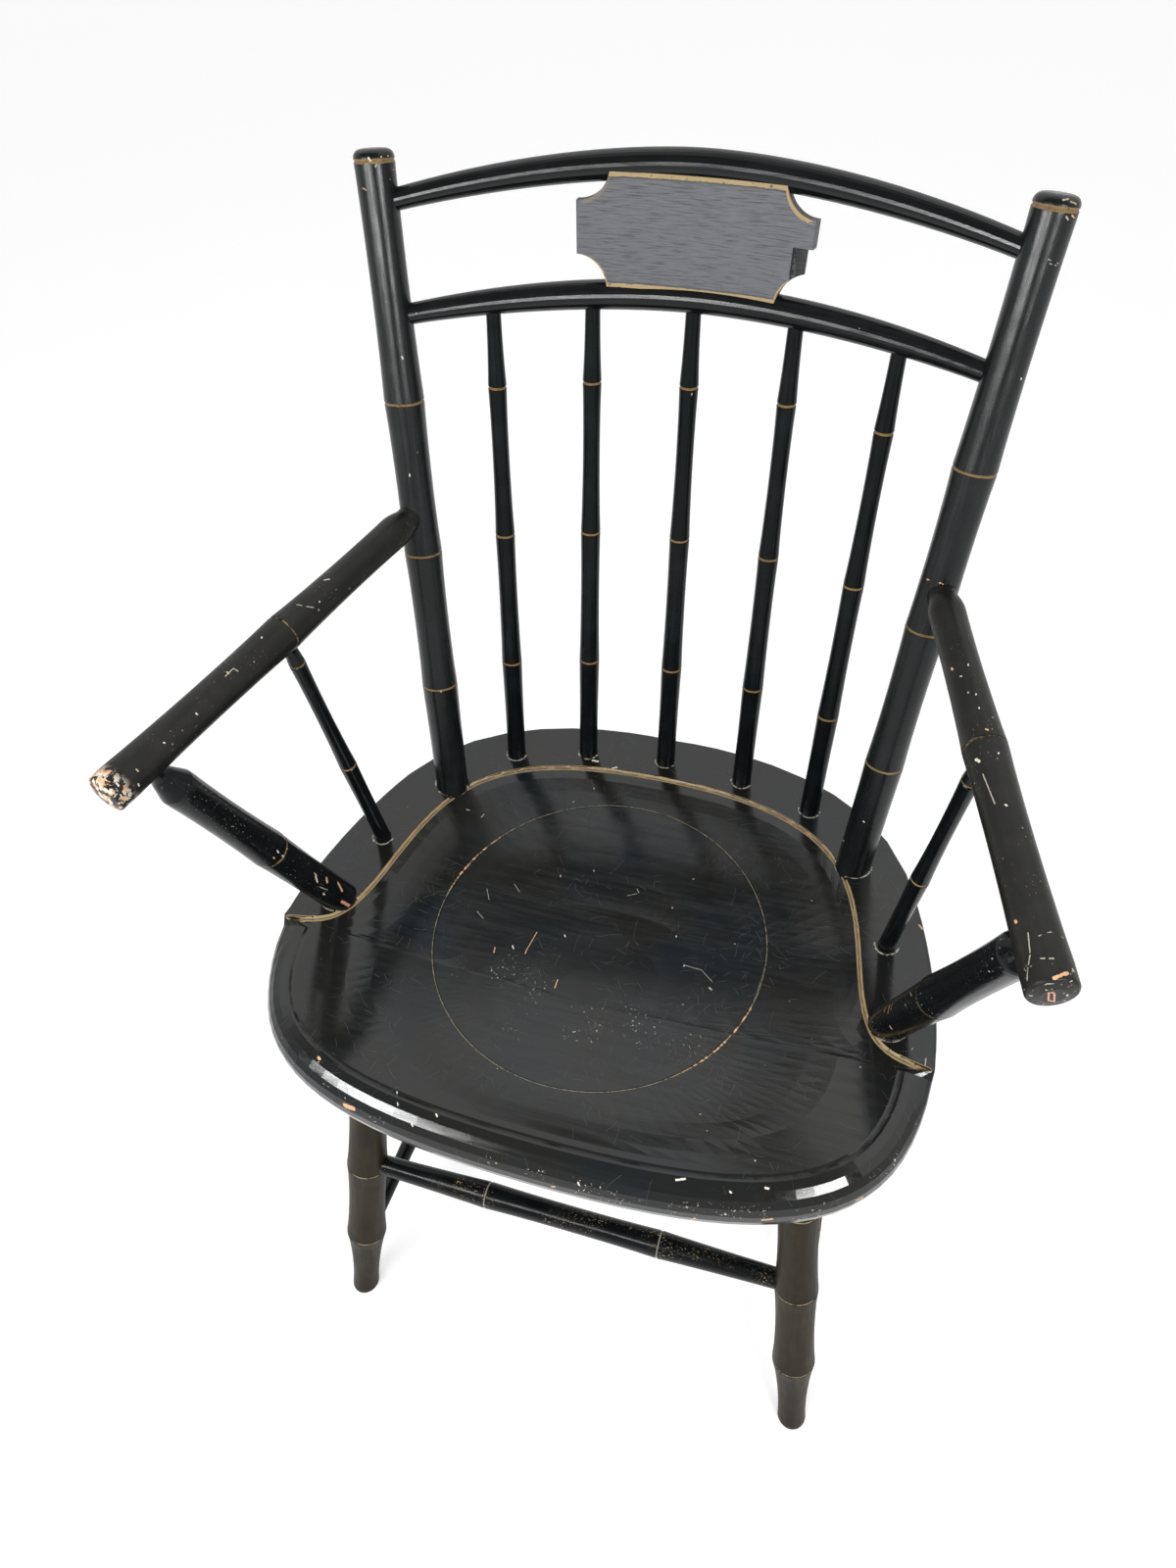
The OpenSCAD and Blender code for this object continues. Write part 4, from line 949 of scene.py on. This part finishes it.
def ribbon_faces(rows, k):
    """Faces of a closed ribbon whose rows have k upper and then k lower points each."""
    faces = []
    for i in range(rows - 1):
        a, b = i * 2 * k, (i + 1) * 2 * k
        for j in range(k - 1):
            faces.append((a + j + 1, a + j, b + j, b + j + 1))
            faces.append((a + k + j, a + k + j + 1, b + k + j + 1, b + k + j))
        faces.append((a, a + k, b + k, b))
        faces.append((a + 2 * k - 1, a + k - 1, b + k - 1, b + 2 * k - 1))
    last = (rows - 1) * 2 * k
    for j in range(k - 1):
        faces.append((j, j + 1, k + j + 1, k + j))
        faces.append((last + j + 1, last + j, last + k + j, last + k + j + 1))
    return faces


def make_groove_line():
    """A thin ribbon of paint that lies in the groove and on both its lips."""
    path = groove_curve()
    gone = np.concatenate([[0], np.cumsum(np.linalg.norm(np.diff(path, axis=0), axis=1))])
    ahead = np.gradient(path, axis=0)
    ahead /= np.linalg.norm(ahead, axis=1)[:, None]
    tree = surface("seat")
    verts, uvs = [], []
    for i, p in enumerate(path):
        n = np.array([-ahead[i][1], ahead[i][0]])
        end = min(gone[i], gone[-1] - gone[i])
        swell = min(1.0, max(0.0, 1 - end / LINE_SWELL) * LINE_SWELL_GAIN)
        half = LINE_HALF + (LINE_HALF_END - LINE_HALF) * swell
        half *= min(1.0, LINE_TIP_SHARE + end / LINE_TIP)
        for upper, lift in ((True, LINE_COAT), (False, -LINE_ROOT)):
            for u in LINE_SHARES:
                q = p + n * u * half
                hit = tree.ray_cast(Vector((q[0], q[1], SEAT_TOP + RAY_ABOVE)),
                                    Vector((0, 0, -1)))[0]
                on_seat = hit is not None and hit.z > SEAT_TOP - RAY_ABOVE
                z = hit.z if on_seat else verts[-1][2] - lift
                at_edge = upper and abs(u) >= LINE_EDGE_SHARE
                verts.append((q[0], q[1], z + lift * (LINE_EDGE_COAT if at_edge else 1.0)))
                uvs.append((u, gone[i]))
    mesh = bpy.data.meshes.new("groove_line")
    mesh.from_pydata(verts, [], ribbon_faces(len(path), len(LINE_SHARES)))
    layer = mesh.uv_layers.new(name="lay")
    for loop in mesh.loops:
        layer.data[loop.index].uv = uvs[loop.vertex_index]
    mesh.shade_smooth()
    mesh.materials.append(groove_paint())
    obj = bpy.data.objects.new("groove_line", mesh)
    bpy.context.collection.objects.link(obj)
    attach(obj, "root")


def dress(name, material):
    """Gives a node its material."""
    data = nodes[name].data
    data.materials.clear()
    data.materials.append(material)


def dress_stick(name, **look):
    dress(name, turned_paint(name, **look))


# Floor: pale paper that glows a little where the camera or a mirror sees it, and keeps the shadow
FLOOR_HALF = 40.0
FLOOR_GLOW = 0.3
FLOOR_ROUGHNESS = 0.9
FLOOR_SHINE = 0.1
PAPER_WHITE = (0.82, 0.82, 0.82, 1)
SEEING_RAYS = ("Is Camera Ray", "Is Glossy Ray", "Is Transmission Ray")


def make_floor():
    mesh = bpy.data.meshes.new("floor")
    r = FLOOR_HALF
    mesh.from_pydata([(-r, -r, 0), (r, -r, 0), (r, r, 0), (-r, r, 0)], [], [(0, 1, 2, 3)])
    obj = bpy.data.objects.new("floor", mesh)
    bpy.context.collection.objects.link(obj)
    s = Paint("floor_paper")
    s.bsdf.inputs["Base Color"].default_value = PAPER_WHITE
    s.bsdf.inputs["Roughness"].default_value = FLOOR_ROUGHNESS
    s.bsdf.inputs["Specular IOR Level"].default_value = FLOOR_SHINE
    path = s.tree.nodes.new("ShaderNodeLightPath")
    seen = s.most(*[path.outputs[ray] for ray in SEEING_RAYS])
    glow = s.tree.nodes.new("ShaderNodeEmission")
    s.put(s.times(seen, FLOOR_GLOW), glow.inputs["Strength"])
    both = s.tree.nodes.new("ShaderNodeAddShader")
    s.put(s.bsdf.outputs[0], both.inputs[0])
    s.put(glow.outputs[0], both.inputs[1])
    s.put(both.outputs[0], s.out.inputs[0])
    mesh.materials.append(s.mat)


# Lamps: name, place, width, height and radiance. Both look at LAMP_AIM. The highlights on the
# roll and on the posts show where the photographer's own ones stood
LAMP_AIM = Vector((0, 0.02, 0.5))
LAMPS = (("left_lamp", (-0.5, -0.85, 1.06), 1.0, 0.11, 32.0),
         ("right_lamp", (0.7, -0.63, 1.04), 0.35, 0.14, 34.0))


def make_lamp(name, place, width, height, radiance):
    data = bpy.data.lights.new(name, "AREA")
    data.shape = "RECTANGLE"
    data.size = width
    data.size_y = height
    data.energy = radiance * math.pi * width * height
    obj = bpy.data.objects.new(name, data)
    bpy.context.collection.objects.link(obj)
    obj.location = place
    obj.rotation_mode = "QUATERNION"
    obj.rotation_quaternion = (Vector(place) - LAMP_AIM).to_track_quat("Z", "Y")
    # It would stand in the way of other views
    obj.visible_camera = False


# Brightness of the studio: the white wall behind the chair, the ceiling over it and in front of
# it, the dark joint between ceiling and wall, and what stands low behind and in front
WALL_LEVEL = 1.65
WALL_LOW_SHARE = 0.8
CEILING_LEVEL = 1.4
FRONT_LEVEL = 0.25
JOINT_LEVEL = 0.12
LOW_LEVEL = 0.85
LOW_LEVEL_FRONT = 0.55
# Where one gives way to another, in the parts x, y and z of a unit vector towards it. The joint
# ends on the left, where the ceiling goes on, and runs at a slant on the right of JOINT_BEND
LOW_TO_HIGH_Z = (0.36, 0.58)
LOW_FRONT_TO_BACK_Y = (-0.5, 0.3)
FRONT_TO_CEILING_Y = (-0.02, 0.16)
CEILING_TO_JOINT = (0.44, 0.47)
JOINT_TO_WALL = (0.5, 0.535)
CEILING_TO_JOINT_X = (-0.28, -0.18)
WALL_RISE_Z = (0.7, 0.85)
JOINT_BEND = -0.13
JOINT_SLANT = 0.9


def make_world():
    world = bpy.data.worlds.new("studio")
    bpy.context.scene.world = world
    world.use_nodes = True
    s = Graph(world.node_tree)
    x, y, z = s.parts(s.place("Generated"))
    behind = s.plus(y, s.times(s.most(s.minus(x, JOINT_BEND), 0.0), JOINT_SLANT))
    wall = s.ramp(z, *WALL_RISE_Z, WALL_LEVEL * WALL_LOW_SHARE, WALL_LEVEL)
    ceiling = s.ramp(y, *FRONT_TO_CEILING_Y, FRONT_LEVEL, CEILING_LEVEL)
    dark = s.ramp(x, *CEILING_TO_JOINT_X, CEILING_LEVEL, JOINT_LEVEL)
    joint = s.ramp(behind, *CEILING_TO_JOINT, ceiling, dark)
    high = s.ramp(behind, *JOINT_TO_WALL, joint, wall)
    low = s.ramp(y, *LOW_FRONT_TO_BACK_Y, LOW_LEVEL_FRONT, LOW_LEVEL)
    back = s.tree.nodes["Background"]
    back.inputs["Color"].default_value = (1, 1, 1, 1)
    s.put(s.ramp(z, *LOW_TO_HIGH_Z, low, high), back.inputs["Strength"])


ARM_END_WEAR = {"left": 0.52, "right": 0.37}
SPINDLES = 5

make_camera()
make_groove_line()
for part in ("seat", "seat_disc"):
    dress(part, seat_paint(part))
for part in ("top_rail", "middle_rail"):
    dress(part, rail_paint(part))
dress("tablet", tablet_paint())
for side in ("left", "right"):
    dress_stick("stile_" + side, widths=(0.9, 0.9, 0.9, 1.5), rough=0.25, grit=2.0, shine=0.36)
    dress_stick("arm_" + side, way=(0, -1, 0), base=ARM_BLACK, rough=0.38, widths=(0.6,),
                worn=0.56, shine=0.25, flecks=0.5, speckle=0.07, end_wear=ARM_END_WEAR[side])
    dress_stick("arm_post_" + side, widths=(0.7,), worn=0.42, flecks=0.5, speckle=0.08)
    dress_stick("arm_spindle_" + side, widths=(0.8, 0.5))
    for end in ("front", "rear"):
        dress(f"leg_{end}_{side}", leg_paint(f"leg_{end}_{side}"))
    dress_stick("stretcher_" + side, way=(0, 1, 0), widths=(0.5, 0.5), line=PALE)
for number in range(1, SPINDLES + 1):
    dress_stick(f"spindle_{number}", widths=(0.9, 0.9, 0.9), shine=0.15)
for part in ("stretcher_front", "stretcher_rear"):
    dress_stick(part, way=(1, 0, 0), widths=(0.6, 0.6), line=PALE, flecks=0.9,
                fleck_colour=OCHRE_PALE, speckle=0.13)
make_floor()
for lamp in LAMPS:
    make_lamp(*lamp)
make_world()
bpy.context.scene.view_settings.view_transform = "Standard"
